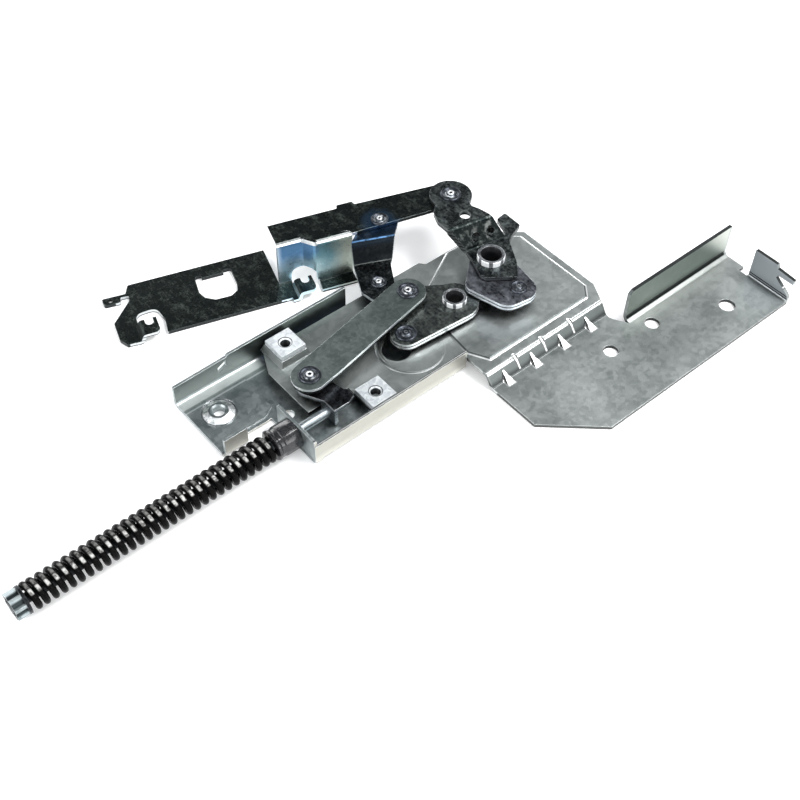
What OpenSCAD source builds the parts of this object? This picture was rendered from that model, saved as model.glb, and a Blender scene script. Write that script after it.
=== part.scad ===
// Door hinge of a built-in dishwasher, lying flat on its side channel.
// X runs along the channel towards the wing, Y towards the door arm, Z up.
// The origin is on the axis of the drawn fixing collar, on the underside of the channel floor.

/* [Side channel] */
// Thickness of the channel sheet
channel_t = 1.5; // [1:0.1:1.8]
// Free end of the channel, from the collar axis
channel_left = -13; // [-20:0.5:-11]
// Inner face of the rear flange
channel_rear = 18; // [18:0.5:20]
// Outer face of the front flange
channel_front = -54; // [-57:0.5:-53]
// Height of the rear flange
rear_flange_h = 15.5; // [12:0.5:18]
// End of the rear flange
rear_flange_right = 93; // [60:1:94]
// Height of the front flange
front_flange_h = 13; // [10:0.5:15]
// Face of the wall that the spring pushes on
wall_x = 18; // [16:0.5:20]
// Height of the spring wall
wall_h = 16; // [15:0.5:20]
// Front edge of the narrow end of the floor
ledge_front = -23.5; // [-24.5:0.5:-22]
// Bore radius of the fixing collar
collar_bore_r = 3; // [2:0.25:4]
// Outer radius of the fixing collar
collar_r = 8; // [6:0.25:9]
// Height of the fixing collar over the floor
collar_h = 2.6; // [1:0.1:4]

/* [Hinge plate] */
// Thickness of the hinge plate
plate_t = 2; // [1.5:0.1:2.2]
// Height of the panel's underside over the wing's underside
panel_rise = 6; // [5.5:0.25:6.5]
// Height of the pressed field on the panel
field_rise = 0.7; // [0.4:0.1:1]
// Left edge of the panel
panel_left = 31; // [30:0.5:32]
// Right edge of the panel
panel_right = 201.5; // [198:0.5:206]
// Rear edge of the panel over the channel
panel_rear = 14; // [12:0.5:15]
// Front edge of the panel over the channel
panel_front = -51.2; // [-51.5:0.1:-51]
// Start of the joggle between panel and wing
joggle_y = -68.5; // [-70:0.5:-66]
// Length of the joggle slope along Y
joggle_run = 4.7; // [3.5:0.1:6]
// Left edge of the wing
wing_left = 114; // [110:0.5:116]
// Right edge of the wing
wing_right = 280; // [276:0.5:290]
// Front edge of the wing
wing_front = -128; // [-134:0.5:-126]
// Outer face of the wing's rear flange
wing_rear = -80.6; // [-82:0.2:-80]
// Left end of the wing's rear flange
wing_flange_left = 200; // [198:0.5:215]
// Height of the wing's rear flange
wing_flange_h = 22; // [15:0.5:28]
// Height of the slotted end tab
end_tab_h = 20; // [18:0.5:24]
// Radius of the two round holes of the wing
wing_hole_r = 4; // [2.5:0.25:5]
// Radius of the wing's outer hole
wing_outer_hole_r = 4.4; // [2.5:0.1:5]

/* [Nuts] */
// Side of the square nuts
nut_w = 14.5; // [13:0.25:15]
// Thickness of the square nuts
nut_t = 3; // [2:0.1:4]
// Bore radius of the nuts
nut_bore_r = 2.6; // [2:0.1:3.2]
// Radius of the nuts' round shanks
nut_shank_r = 4.5; // [4:0.1:5.5]
// Height of the pressed boss under the rear nut
boss_rise = 3.5; // [2:0.25:4]

/* [Main lever] */
// Thickness of the lever plate
lever_t = 2.5; // [2:0.1:3]
// Thickness of each foot ply
foot_ply_t = 2; // [1.5:0.1:2.2]
// Distance from the lever eyelet to the arm rivet
lever_len = 42.85; // [41:0.05:44]
// Direction of the lever at rest
lever_dir = 78.6; // [75:0.1:82]
// Radius of the lever's head
lever_head_r = 11.5; // [10:0.25:13]
// Radius of the lever eyelet's barrel
lever_barrel_r = 6; // [5:0.25:6.5]
// Height of the lever eyelet's collar over the lever
lever_collar_h = 3.6; // [2:0.1:4.5]

/* [Door arm] */
// Thickness of the door arm sheet
arm_t = 2; // [1.5:0.1:2.2]
// Direction of the door arm at rest
arm_dir = 162; // [160:0.5:164]
// Height of the upper plate's underside
arm_plate_z = 28; // [27.5:0.25:30]
// Length of the strip from the arm rivet
arm_len = 188; // [180:1:200]
// Front edge of the strip, across the arm
strip_front = -13.5; // [-16:0.5:-12]
// Rear edge of the strip, across the arm
strip_rear = 27.3; // [26:0.1:32]
// Right end of the web, from the arm rivet
web_start = 59; // [57:0.5:62]
// Left end of the web, from the arm rivet
web_end = 99; // [97:0.5:104]
// Height of the hook lugs over the strip
lug_rise = 4; // [3:0.25:5]

/* [Links] */
// Thickness of the guide link
guide_t = 2; // [1.5:0.1:2.2]
// Width of the guide link's lower part
guide_w = 18; // [16:0.5:19]
// Thickness of each rocker ply
rocker_ply_t = 2; // [1.5:0.1:2.2]
// Radius of the rocker round its eyelet
rocker_r = 12; // [10:0.25:12.5]
// Radius of the rocker eyelet's barrel
rocker_barrel_r = 5; // [4:0.25:5.5]
// Height of the rocker eyelet's collar over the rocker
rocker_collar_h = 3.2; // [2:0.1:4]
// Thickness of the tie link
tie_t = 2.5; // [1.5:0.1:3]
// Width of the tie link
tie_w = 18.6; // [16:0.2:19]
// Shank radius of the link rivets
rivet_r = 3.5; // [2.5:0.1:4]
// Head radius of the link rivets
rivet_head_r = 5.6; // [5:0.1:6.5]

/* [Pull rod and spring] */
// Radius of the pull rod
rod_r = 2.5; // [1.8:0.1:2.8]
// Far end of the spring
spring_left = -124; // [-140:1:-110]
// Outer radius of the spring
spring_r = 7.25; // [6.5:0.05:7.4]
// Radius of the spring wire
wire_r = 1.35; // [1:0.05:1.4]
// Number of turns of the spring
spring_turns = 34; // [20:1:36]
// Length of the sleeve at the wall
sleeve_len = 13; // [8:0.5:18]
// Outer radius of the sleeve
sleeve_r = 8; // [7:0.1:8.2]
// Thickness of the rod bracket
hook_t = 2; // [1.5:0.1:2.2]

/* [Hidden] */
$fn = 48;

// Radial clearance of a shaft that turns in a hole, and of a fixed one
run_gap = 0.05;
fix_gap = 0.02;
// Axial clearance between pieces that slide on each other
slide_gap = 0.1;
// Clearance between layers of the mechanism
layer_gap = 0.3;
// Cut that passes right through
over = 1;

// Pivots on the base
lever_at = [162, -18];
rocker_at = [131.5, -24];
guide_at = [108, 9];
// Pivots of the tie link at rest, on the rocker and on the rod bracket
tie_at = [114, -7.5];
pull_at = [40, -21.5];
// Rivet at the free end of the rocker
stud_at = [97, -26];
// Rivet of the lever's foot
foot_at = [160, -41.3];
// Axis of the pull rod
rod_y = -37;
rod_z = sleeve_r + 0.3;

// Arm rivet, and the guide link's eye in the frame of the arm
arm_at = lever_at + lever_len * dir(lever_dir);
eye_u = 41.9;
eye_v = -2.05;
eye_at = arm_at + eye_u * dir(arm_dir) + eye_v * dir(arm_dir - 90);

// Heights of the layers, from the table up
panel_top = panel_rise + plate_t;
field_top = panel_top + field_rise;
rocker_z = field_top + 1.8;
rocker_top = rocker_z + 2 * rocker_ply_t;
foot_z = rocker_top + 0.5;
foot_top = foot_z + 2 * foot_ply_t;
guide_z = rocker_top + layer_gap;
guide_top = guide_z + guide_t;
rivet_head_h = 1.3;
guide_rivet_r = rivet_r - 0.7;
tie_z = guide_top + layer_gap;
tie_top = tie_z + tie_t;
arm_top = arm_plate_z + arm_t;
head_z = arm_top + 0.4;
guide_high_z = arm_plate_z - layer_gap - guide_t;

function dir(a) = [cos(a), sin(a)];
function unit(v) = v / norm(v);
function left_of(v) = [-v.y, v.x];
function turned(v, a) = [v.x * cos(a) - v.y * sin(a), v.x * sin(a) + v.y * cos(a)];

// Points and left normals along a path whose corners are rounded to radius r
function corner(a, b, c, r, n) =
    let (u = unit(b - a), v = unit(c - b), turn = atan2(cross(u, v), u * v),
        side = sign(turn), start = b - u * r * abs(tan(turn / 2)),
        hub = start + left_of(u) * side * r)
    [for (i = [0:n])
        [hub - turned(left_of(u), turn * i / n) * side * r, turned(left_of(u), turn * i / n)]];
function path_marks(p, r, n) =
    let (last = len(p) - 1)
    concat([[p[0], left_of(unit(p[1] - p[0]))]],
        [for (i = [1:last - 1]) each corner(p[i - 1], p[i], p[i + 1], r, n)],
        [[p[last], left_of(unit(p[last] - p[last - 1]))]]);

// Outline of a sheet of thickness t that follows a centre line with bend radius r
function sheet_outline(p, t, r, n = 4) =
    let (m = path_marks(p, r, n))
    concat([for (e = m) e[0] + e[1] * t / 2],
        [for (i = [len(m) - 1:-1:0]) m[i][0] - m[i][1] * t / 2]);

// Closed outline with every corner rounded
function rounded(p, r, n = 3) =
    let (k = len(p))
    [for (i = [0:k - 1]) each [for (e = corner(p[(i + k - 1) % k], p[i], p[(i + 1) % k], r, n)) e[0]]];

// Open chain of points, rounded at every point but its ends
function eased(p, r, n = 3) =
    concat([p[0]], [for (i = [1:len(p) - 2])
        each [for (e = corner(p[i - 1], p[i], p[i + 1], r, n)) e[0]]], [p[len(p) - 1]]);

// Outline of a belt round discs [centre, radius] that are listed counter-clockwise
function belt_normal(a, b) =
    atan2(b[0].y - a[0].y, b[0].x - a[0].x) - acos((a[1] - b[1]) / norm(b[0] - a[0]));
function belt(discs) =
    let (k = len(discs), normals = [for (i = [0:k - 1]) belt_normal(discs[i], discs[(i + 1) % k])])
    [for (i = [0:k - 1])
        let (from = normals[(i + k - 1) % k], turn = (normals[i] - from + 720) % 360,
            steps = ceil(turn / 11))
        for (j = [0:steps]) discs[i][0] + discs[i][1] * dir(from + turn * j / steps)];

// A flat layer of thickness t with its underside at height z
module layer(z, t) {
    translate([0, 0, z]) linear_extrude(t) children();
}

// A side view, drawn in Y and Z or in X and Z, drawn out along the other axis
module along_x(x0, x1) {
    translate([x0, 0, 0]) rotate([90, 0, 90]) linear_extrude(x1 - x0) children();
}
module along_y(y0, y1) {
    translate([0, y1, 0]) rotate([90, 0, 0]) linear_extrude(y1 - y0) children();
}

// A round hole through a layer
module hole(at, r, z, t) {
    translate([at.x, at.y, z - over]) cylinder(r = r, h = t + 2 * over);
}

// A body of revolution about a vertical axis
module turned_at(at) {
    translate([at.x, at.y, 0]) rotate_extrude($fn = 64) children();
}

// Rivet head that stands on height z: a raised rim, a ring groove and a dome in its middle
module rivet_head(at, r, z, h) {
    turned_at(at) polygon([[0, z], [r, z], [r, z + h * 0.45], [r * 0.93, z + h * 0.75],
        [r * 0.8, z + h * 0.8], [r * 0.7, z + h * 0.6], [r * 0.62, z + h * 0.25],
        [r * 0.5, z + h * 0.25], [r * 0.43, z + h * 0.7], [r * 0.3, z + h * 0.95],
        [r * 0.12, z + h], [0, z + h]]);
}

// Eyelet: shoulder under the pieces that turn on it, barrel, and a tall rolled collar over them
module eyelet(at, barrel_r, bore_r, z_base, z_seat, z_top, collar_t, collar_h) {
    z_under = panel_rise - 1.4;
    foot_r = barrel_r + 2.2;
    seat_r = barrel_r + 2.4;
    lip_r = barrel_r + collar_t;
    turned_at(at) polygon([
        [bore_r, z_under], [foot_r, z_under], [foot_r, panel_rise],
        [barrel_r, panel_rise], [barrel_r, z_base], [seat_r, z_base],
        [seat_r, z_seat], [barrel_r, z_seat], [barrel_r, z_top],
        [lip_r, z_top], [lip_r, z_top + collar_h - 0.7], [lip_r - 0.25, z_top + collar_h - 0.2],
        [lip_r - 0.8, z_top + collar_h], [barrel_r * 0.95, z_top + collar_h - 0.3],
        [barrel_r * 0.88, z_top + collar_h - 1.1], [bore_r, z_top + 0.6]]);
}

// Floor of the channel: a narrow end round the collar and a wide part up to the panel's end
channel_in_front = channel_front + channel_t;
channel_right = wing_left - 0.5;
bend_r = 2;
joggle_bend = 3;
wing_bend = 4;
pad_rise = 0.6;
module channel_floor_outline() {
    notch_x = 1;
    notch_y = ledge_front + 5;
    polygon([[channel_left, channel_rear], [channel_left, ledge_front + channel_t],
        [channel_left + 1, ledge_front + channel_t], [notch_x, ledge_front + channel_t],
        [notch_x, notch_y], [wall_x, notch_y], [wall_x, channel_in_front + bend_r],
        [channel_right, channel_in_front + bend_r], [channel_right, channel_rear]]);
}
module channel_pad_outline() {
    difference() {
        polygon(rounded([[channel_left - over, 11], [22.5, 11], [22.5, -13], [16, -16.5],
            [0, -16.5], [0, -21], [channel_left - over, -21]], 1.5));
        circle(collar_r + 1);
    }
}
vent_at = [26, -22];
module side_channel() {
    mid = channel_t / 2;
    color([0.62, 0.66, 0.68]) difference() {
        union() {
            difference() {
                layer(0, channel_t) channel_floor_outline();
                layer(-over, pad_rise + over) channel_pad_outline();
            }
            layer(pad_rise, channel_t) intersection() {
                channel_floor_outline();
                channel_pad_outline();
            }
            along_x(channel_left, rear_flange_right)
                polygon(sheet_outline([[channel_rear - 4, mid], [channel_rear + mid, mid],
                    [channel_rear + mid, rear_flange_h]], channel_t, bend_r));
            along_x(wall_x, channel_right)
                polygon(sheet_outline([[channel_front + 5, mid], [channel_front + mid, mid],
                    [channel_front + mid, front_flange_h]], channel_t, bend_r));
            along_x(channel_left + 1, 1)
                polygon(sheet_outline([[ledge_front + 4, mid], [ledge_front + mid, mid],
                    [ledge_front + mid, 12]], channel_t, bend_r));
            along_y(channel_front + 0.4, -24)
                polygon(sheet_outline([[wall_x + 5, mid], [wall_x + mid, mid],
                    [wall_x + mid, wall_h]], channel_t, bend_r));
            turned_at([0, 0]) polygon([[collar_bore_r, 0], [collar_r, 0],
                [collar_r, channel_t + pad_rise + 0.4],
                [collar_r * 0.78, channel_t + collar_h * 0.75],
                [collar_r * 0.62, channel_t + collar_h],
                [collar_bore_r + 0.9, channel_t + collar_h],
                [collar_bore_r, channel_t + collar_h * 0.7]]);
        }
        hole([0, 0], collar_bore_r, 0, channel_t);
        hole(vent_at, 2.75, 0, channel_t);
        hole(rear_nut_at, nut_bore_r + 0.4, 0, channel_t);
        hole(front_nut_at, nut_bore_r + 0.4, 0, channel_t);
        translate([wall_x - over, rod_y, rod_z]) rotate([0, 90, 0])
            cylinder(r = rod_r + 0.8, h = channel_t + 2 * over);
        along_y(channel_rear - over, channel_rear + channel_t + over)
            polygon([[12.5, 6.5], [17.5, 9], [17.5, 12.5], [12.5, 10]]);
        along_y(channel_rear - over, channel_rear + channel_t + over)
            polygon([[channel_left - over, rear_flange_h - 2], [18, rear_flange_h - 1.2],
                [20, rear_flange_h + over], [channel_left - over, rear_flange_h + over]]);
    }
}

// Hinge plate: panel, joggle and wing in one pressed sheet
wing_low = joggle_y - joggle_run;
rear_nut_at = [46.5, 7.6];
front_nut_at = [63, -43.4];
boss_w = nut_w + 1;
boss_draft = 2.6;
boss_reach = (boss_w + boss_draft) / 2 + 0.3;
rod_cut_right = front_nut_at.x - nut_w / 2 - 0.3;
rod_cut_rear = -31.5;
function panel_outline() = [[panel_left, 1], [panel_left + 6, panel_rear],
    [rear_nut_at.x - boss_reach, rear_nut_at.y + boss_reach],
    [rear_nut_at.x + boss_reach, rear_nut_at.y + boss_reach],
    [rear_nut_at.x + boss_reach + 2, panel_rear],
    [140, panel_rear], [142.5, panel_rear - 3], [panel_right - 18, panel_rear - 3],
    [panel_right, -4], [panel_right, -57], [panel_right - 5.5, joggle_y + over],
    [panel_right - 8.5, joggle_y - 20], [wing_left, joggle_y - 20],
    [wing_left, panel_front], [rod_cut_right, panel_front],
    [rod_cut_right, rod_cut_rear], [panel_left, rod_cut_rear]];
field_edge = 5.5;
field_slope = 1.6;
function field_points() = [[157, panel_rear - 5], [133, -4], [121, -14], [117, -51],
    [122.5, -61], [panel_right - field_edge - 5, -61], [panel_right - field_edge, -55],
    [panel_right - field_edge, -6], [panel_right - field_edge - 12, 4], [176, panel_rear - 5]];
module field_outline() {
    polygon(rounded(field_points(), 2));
}
function boss_points() = [for (c = [[-1, -1], [1, -1], [1, 1], [-1, 1]]) rear_nut_at + c * boss_w / 2];
// Flat form pressed up from the panel, with sloped sides round its counterclockwise points
module pressed_form(points, rise, slope) {
    n = len(points);
    reach = 120;
    root = 0.3;
    difference() {
        layer(panel_top - root, rise + root) translate(points[0]) square(2 * reach, center = true);
        for (i = [0:n - 1]) {
            a = points[i];
            step = points[(i + 1) % n] - a;
            translate([a.x, a.y, panel_top]) rotate([0, 0, atan2(step.y, step.x)])
                along_x(-2 * reach, 2 * reach) polygon([[slope, 2 * rise], [-slope, 0],
                    [-slope, -1], [-3 * reach, -1], [-3 * reach, 2 * rise]]);
        }
    }
}
module boss_outline() {
    translate(rear_nut_at) square(boss_w, center = true);
}
function wing_outline() = [[wing_left, wing_low + 20], [wing_left, -103],
    [wing_left + 28, wing_front], [end_tab_x, wing_front], [end_tab_x, -101.5],
    [wing_right - 4, -101.5], [wing_right - 4, -96], [wing_right, -96],
    [wing_right, wing_rear - plate_t / 2 - wing_bend],
    [wing_flange_left, wing_rear - plate_t / 2 - wing_bend],
    [panel_right - 8.5, wing_low], [panel_right - 8.5, wing_low + 20]];
end_tab_x = 277;

// Long opening under the rocker's free end, inside a pressed ring that fades out to the right
opening_ends = [[90, -27], [99, -21]];
opening_r = 7.6;
ring_at = [97, -30];
ring_r = 16;
ring_w = 2.4;
ring_h = 0.7;
ring_tilt = 1.4;

// Side view of the sheet where it steps down from the panel to the wing
module joggle_profile() {
    mid = plate_t / 2;
    shift = mid * tan(atan2(panel_rise, joggle_run) / 2);
    polygon(sheet_outline([[40, panel_top - mid], [joggle_y + shift, panel_top - mid],
        [wing_low + shift, mid], [wing_front - over, mid]], plate_t, joggle_bend));
}
// A gusset in the lower bend: a sloped triangle that narrows upwards
module joggle_rib(x) {
    foot_y = wing_low - 4;
    tip = [joggle_y - joggle_run * 0.22, plate_t + panel_rise * 0.72];
    intersection() {
        along_x(x - 3, x + 3) polygon([[foot_y, plate_t - 0.3], [foot_y, plate_t], tip,
            [wing_low + 1.5, plate_t - 0.3]]);
        layer(0, panel_top) polygon([[x - 2.4, foot_y - 1], [x + 2.4, foot_y - 1],
            [x + 0.3, tip.x + 0.5], [x - 0.3, tip.x + 0.5]]);
    }
}
// A groove across the upper bend
module joggle_dent(x) {
    groove_r = 1.7;
    depth = 1.1;
    translate([x, joggle_y, panel_top]) rotate([90 + atan2(panel_rise, joggle_run) / 2, 0, 0])
        translate([0, groove_r - depth, 0]) cylinder(r = groove_r, h = 9, center = true);
}
module end_tab_profile() {
    polygon([[-101.7, plate_t / 2], [-101.7, end_tab_h], [-116, end_tab_h],
        [-117, end_tab_h - 2.5], [-128, end_tab_h - 3.4], [-128, end_tab_h - 6],
        [-118.5, end_tab_h - 6.2], [-117.5, end_tab_h - 8], [-119.5, end_tab_h - 9.6],
        [-126, end_tab_h - 14], [-127.5, 4], [-127.5, plate_t / 2]]);
}
module hinge_plate() {
    flange_mid = wing_rear - plate_t / 2;
    color([0.6, 0.63, 0.65]) difference() {
        union() {
            intersection() {
                layer(-over, panel_top + 2 * boss_rise) polygon(panel_outline());
                union() {
                    along_x(panel_left - over, panel_right + over) joggle_profile();
                    pressed_form(field_points(), field_rise, field_slope);
                    pressed_form(boss_points(), boss_rise, boss_draft / 2);
                }
            }
            intersection() {
                layer(-over, panel_top + 2 * over) polygon(wing_outline());
                along_x(wing_left - over, wing_right + over) wing_floor_profile();
            }
            along_x(wing_flange_left, wing_right) polygon(sheet_outline(
                [[flange_mid - wing_bend - 1, plate_t / 2], [flange_mid, plate_t / 2],
                [flange_mid, wing_flange_h]], plate_t, wing_bend));
            intersection() {
                along_y(-128, -101.7) polygon(sheet_outline(
                    [[end_tab_x - 6, plate_t / 2], [end_tab_x + plate_t / 2, plate_t / 2],
                    [end_tab_x + plate_t / 2, end_tab_h]], plate_t, bend_r));
                along_x(end_tab_x - 6, end_tab_x + plate_t) end_tab_profile();
            }
            for (x = [123.5, 142.5, 162.5, 182]) joggle_rib(x);
            translate([ring_at.x, ring_at.y, panel_top]) rotate([0, ring_tilt, 0])
                turned_at([0, 0]) polygon([[ring_r, -0.7], [ring_r + ring_w, -0.7],
                    [ring_r + ring_w, -0.3], [ring_r + ring_w * 0.6, ring_h - 0.3],
                    [ring_r + ring_w * 0.3, ring_h - 0.3], [ring_r, -0.3]]);
        }
        layer(panel_rise - over, field_rise + over) field_outline();
        layer(panel_rise - over, boss_rise + over) offset_square(-1);
        for (x = [133.3, 152.1, 172.2]) joggle_dent(x);
        layer(panel_rise - over, plate_t + ring_h + 2 * over)
            polygon(belt([for (e = opening_ends) [e, opening_r]]));
        hole(lever_at, lever_barrel_r + fix_gap, panel_rise, 4);
        hole(rocker_at, rocker_barrel_r + fix_gap, panel_rise, 4);
        hole(guide_at, guide_rivet_r + fix_gap, panel_rise, 4);
        hole(rear_nut_at, nut_shank_r + fix_gap, panel_rise, 8);
        hole(front_nut_at, nut_shank_r + fix_gap, panel_rise, 4);
        hole([178.1, -93.1], wing_hole_r, 0, plate_t);
        hole([209.3, -93.1], wing_hole_r, 0, plate_t);
        hole([250.1, -109.4], wing_outer_hole_r, 0, plate_t);
        along_y(wing_rear - plate_t - over, wing_rear + over)
            polygon([[wing_flange_left - over, wing_flange_h - 3],
                [wing_flange_left + 3, wing_flange_h + over],
                [wing_flange_left - over, wing_flange_h + over]]);
    }
}
module offset_square(d) {
    translate(rear_nut_at) square(boss_w + 2 * d, center = true);
}
module wing_floor_profile() {
    polygon([[wing_low + 0.5, 0], [wing_low + 0.5, plate_t], [wing_front - over, plate_t],
        [wing_front - over, 0]]);
}

// Square nut whose round shank passes through the plate and stands on the channel floor
module square_nut(at, z) {
    difference() {
        union() {
            translate([at.x - nut_w / 2, at.y - nut_w / 2, z]) cube([nut_w, nut_w, nut_t]);
            translate([at.x, at.y, channel_t]) cylinder(r = nut_shank_r, h = z - channel_t + over);
        }
        translate([at.x, at.y, 0]) cylinder(r = nut_bore_r, h = z + nut_t + over);
        translate([at.x, at.y, z + nut_t - 0.8])
            cylinder(r1 = nut_bore_r, r2 = nut_bore_r + 1, h = 0.9);
    }
}
module rear_nut() {
    color([0.86, 0.88, 0.88]) square_nut(rear_nut_at, panel_top + boss_rise);
}
module front_nut() {
    color([0.86, 0.88, 0.88]) square_nut(front_nut_at, panel_top);
}

module lever_eyelet() {
    color([0.4, 0.42, 0.45]) eyelet(lever_at, lever_barrel_r, lever_barrel_r - 1.4,
        field_top, foot_z - slide_gap, foot_top + lever_t + slide_gap, 1.4, lever_collar_h);
}
module rocker_eyelet() {
    color([0.4, 0.42, 0.45]) eyelet(rocker_at, rocker_barrel_r, rocker_barrel_r - 1.2,
        field_top, rocker_z - slide_gap, rocker_top + slide_gap, 1.3, rocker_collar_h);
}
module guide_pivot_rivet() {
    z_under = panel_rise - 1.2;
    z_seat = guide_z - slide_gap;
    color([0.35, 0.37, 0.4]) union() {
        turned_at(guide_at) polygon([[0, z_under], [rivet_head_r, z_under],
            [rivet_head_r, panel_rise], [guide_rivet_r, panel_rise], [guide_rivet_r, panel_top],
            [rivet_head_r, panel_top], [rivet_head_r, z_seat], [guide_rivet_r, z_seat],
            [guide_rivet_r, guide_top + slide_gap], [0, guide_top + slide_gap]]);
        rivet_head(guide_at, guide_rivet_r + 1.4, guide_top + slide_gap, rivet_head_h);
    }
}
module spring_sleeve() {
    color([0.1, 0.1, 0.11]) translate([wall_x - sleeve_len, rod_y, rod_z]) rotate([0, 90, 0])
        difference() {
            union() {
                cylinder(r = sleeve_r - 0.5, h = sleeve_len);
                cylinder(r = sleeve_r, h = 1.6);
                translate([0, 0, 4]) cylinder(r = sleeve_r, h = sleeve_len - 4);
            }
            translate([0, 0, -over]) cylinder(r = rod_r + 0.4, h = sleeve_len + 2 * over);
        }
}

// Main lever, drawn in a frame with its axis from the eyelet to the arm rivet along X
module lever_frame() {
    translate([lever_at.x, lever_at.y, 0]) rotate(lever_dir) children();
}
fold_low = 11.4;
fold_high = 19.3;
module lever_outline() {
    polygon(concat(
        eased([[lever_len - 3, lever_head_r - 0.4], [34.5, 15.4], [27, 17], [fold_high, 15.6],
            [fold_low, 8.4], [2, 9.6], [-8, 11.4], [-11.4, 9.8], [-18.3, -5.2], [-8.6, -10.7],
            [5.4, -15.3], [9.9, -16.9], [fold_low + 0.4, -15], [fold_high, -10.4],
            [25.6, -7.8], [29.7, -5.2], [35.1, -6.3], [lever_len - 3, -lever_head_r + 0.6]],
            1.2)));
    translate([lever_len, 0]) circle(lever_head_r);
}
module lever_profile() {
    low = foot_top + lever_t / 2;
    high = head_z + lever_t / 2;
    polygon(sheet_outline([[-40, low], [fold_low, low], [fold_high, high], [70, high]],
        lever_t, 2.5));
}
module stop_tab_outline() {
    polygon(rounded([[6, -13], [fold_low - 1, -14], [14, -18.2], [25, -19.2], [27.1, -25.6],
        [15.1, -27.7], [10.5, -19.5], [8, -17]], 1));
}
module dart(y) {
    z_mid = (foot_top + head_z) / 2 + lever_t / 2;
    translate([(fold_low + fold_high) / 2 - 1.4, y, z_mid]) rotate([0, -54, 0])
        rotate_extrude($fn = 24) polygon([[0, -1.2], [3.1, -1.2], [2.2, 0.9], [1, 1.6], [0, 1.7]]);
}
module main_lever() {
    color([0.2, 0.22, 0.22]) difference() {
        union() {
            lever_frame() {
                intersection() {
                    layer(foot_top - over, 30) lever_outline();
                    along_y(-40, 40) lever_profile();
                }
                layer(foot_top, lever_t) stop_tab_outline();
                dart(1);
                dart(-8);
            }
        }
        hole(lever_at, lever_barrel_r + run_gap, foot_top, lever_t);
        hole(arm_at, rivet_r + fix_gap, head_z, lever_t);
        lever_frame() hole([25, 1.6], 3, head_z, lever_t);
    }
}
// Foot plies: nose, heel and the ear round the eyelet
module foot_outline() {
    nose = [[145.2, -25.4], 5.6];
    heel = [[152.6, -40.8], 8.6];
    toe = [foot_at, 9.3];
    ear = [lever_at, lever_barrel_r + 5];
    polygon(belt([nose, heel, toe, ear]));
}
module foot_ply(z) {
    difference() {
        layer(z, foot_ply_t) foot_outline();
        hole(lever_at, lever_barrel_r + run_gap, z, foot_ply_t);
        hole(foot_at, rivet_r + fix_gap, z, foot_ply_t);
    }
}
module lever_foot_upper() {
    color([0.42, 0.4, 0.45]) foot_ply(foot_z + foot_ply_t);
}
module lever_foot_lower() {
    color([0.55, 0.54, 0.58]) foot_ply(foot_z);
}
// Rivet with a head on both sides of a stack
module stack_rivet(at, z_low, z_high, head_r, r = rivet_r) {
    union() {
        turned_at(at) polygon([[0, z_low - 1.1], [head_r * 0.8, z_low - 1.1], [head_r, z_low - 0.5],
            [head_r, z_low], [r, z_low], [r, z_high], [0, z_high]]);
        rivet_head(at, head_r, z_high, rivet_head_h);
    }
}
module foot_rivet() {
    color([0.35, 0.37, 0.4]) stack_rivet(foot_at, foot_z, foot_top, 4.6, rivet_r);
}
module arm_pivot_rivet() {
    color([0.35, 0.37, 0.4])
        stack_rivet(arm_at, arm_plate_z - slide_gap, head_z + lever_t, rivet_head_r);
}

// Door arm, drawn from the arm rivet with its length along X and its rear along Y
module arm_frame() {
    translate([arm_at.x, arm_at.y, 0]) rotate(arm_dir) mirror([0, 1, 0]) children();
}
web_v = -5.5;
web_back_v = -0.5;
plate_rear = 14.5;
module strip_outline() {
    polygon(concat(
        [[web_end, strip_front], [web_end, strip_rear]],
        eased([[arm_len - 18, strip_rear], [arm_len - 13, strip_rear], [arm_len - 10.6, strip_rear - 5.9],
            [arm_len + 2.2, strip_rear - 5.6], [arm_len + 1.7, strip_rear - 10.8],
            [arm_len - 6.8, strip_rear - 11.2], [arm_len - 7.4, strip_rear - 7.8],
            [arm_len - 12, strip_rear - 8], [arm_len - 11, strip_rear - 12],
            [arm_len, 2], [arm_len, -10.4], [arm_len - 3, strip_front - 1.8],
            [arm_len - 10.4, strip_front - 1.8], [arm_len - 10.4, strip_front]], 0.8)));
}
// Opening round a hook lug, and the raised lug itself
outer_lug_at = arm_len - 12.4;
inner_lug_at = web_end - 8.2;
window_at = web_end + 21;
module lug_opening(u) {
    layer(-over, arm_t + 2 * over) polygon(rounded([[u - 11.5, strip_front - 4],
        [u + 1, strip_front - 4], [u + 1, 4.4], [u - 10.5, 5.4], [u - 13, -4]], 4.2, 6));
}
module lug_arch(u) {
    along_y(web_v - 2.2, web_back_v + 1.6) polygon(rounded([[u - 11.7, -over - 6],
        [u + 1.3, -over - 6], [u + 1.3, 11], [u - 11.7, 11]], 4.4, 6));
}
module lug(u) {
    lug_front = strip_front - 2;
    lug_rear = -4.6;
    difference() {
        along_y(lug_front, lug_rear)
            polygon(sheet_outline([[u + 5, arm_t / 2], [u + 1.6, arm_t / 2],
                [u, arm_t / 2 + lug_rise], [u - 8.5, arm_t / 2 + lug_rise]], arm_t, 1.3));
        layer(arm_t / 2, 2 * lug_rise) polygon(belt([[[u - 4.4, lug_rear - 2.4], 2.2],
            [[u - 4.4, lug_rear + 3], 2.2]]));
        layer(arm_t / 2, 2 * lug_rise) polygon([[u - 8.5 - over, lug_front - over],
            [u - 5.6, lug_front - over], [u - 7, lug_front + 0.4], [u - 8, lug_front + 1.3],
            [u - 8.6, lug_front + 2.8], [u - 8.5 - over, lug_front + 2.8]]);
    }
}
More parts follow.
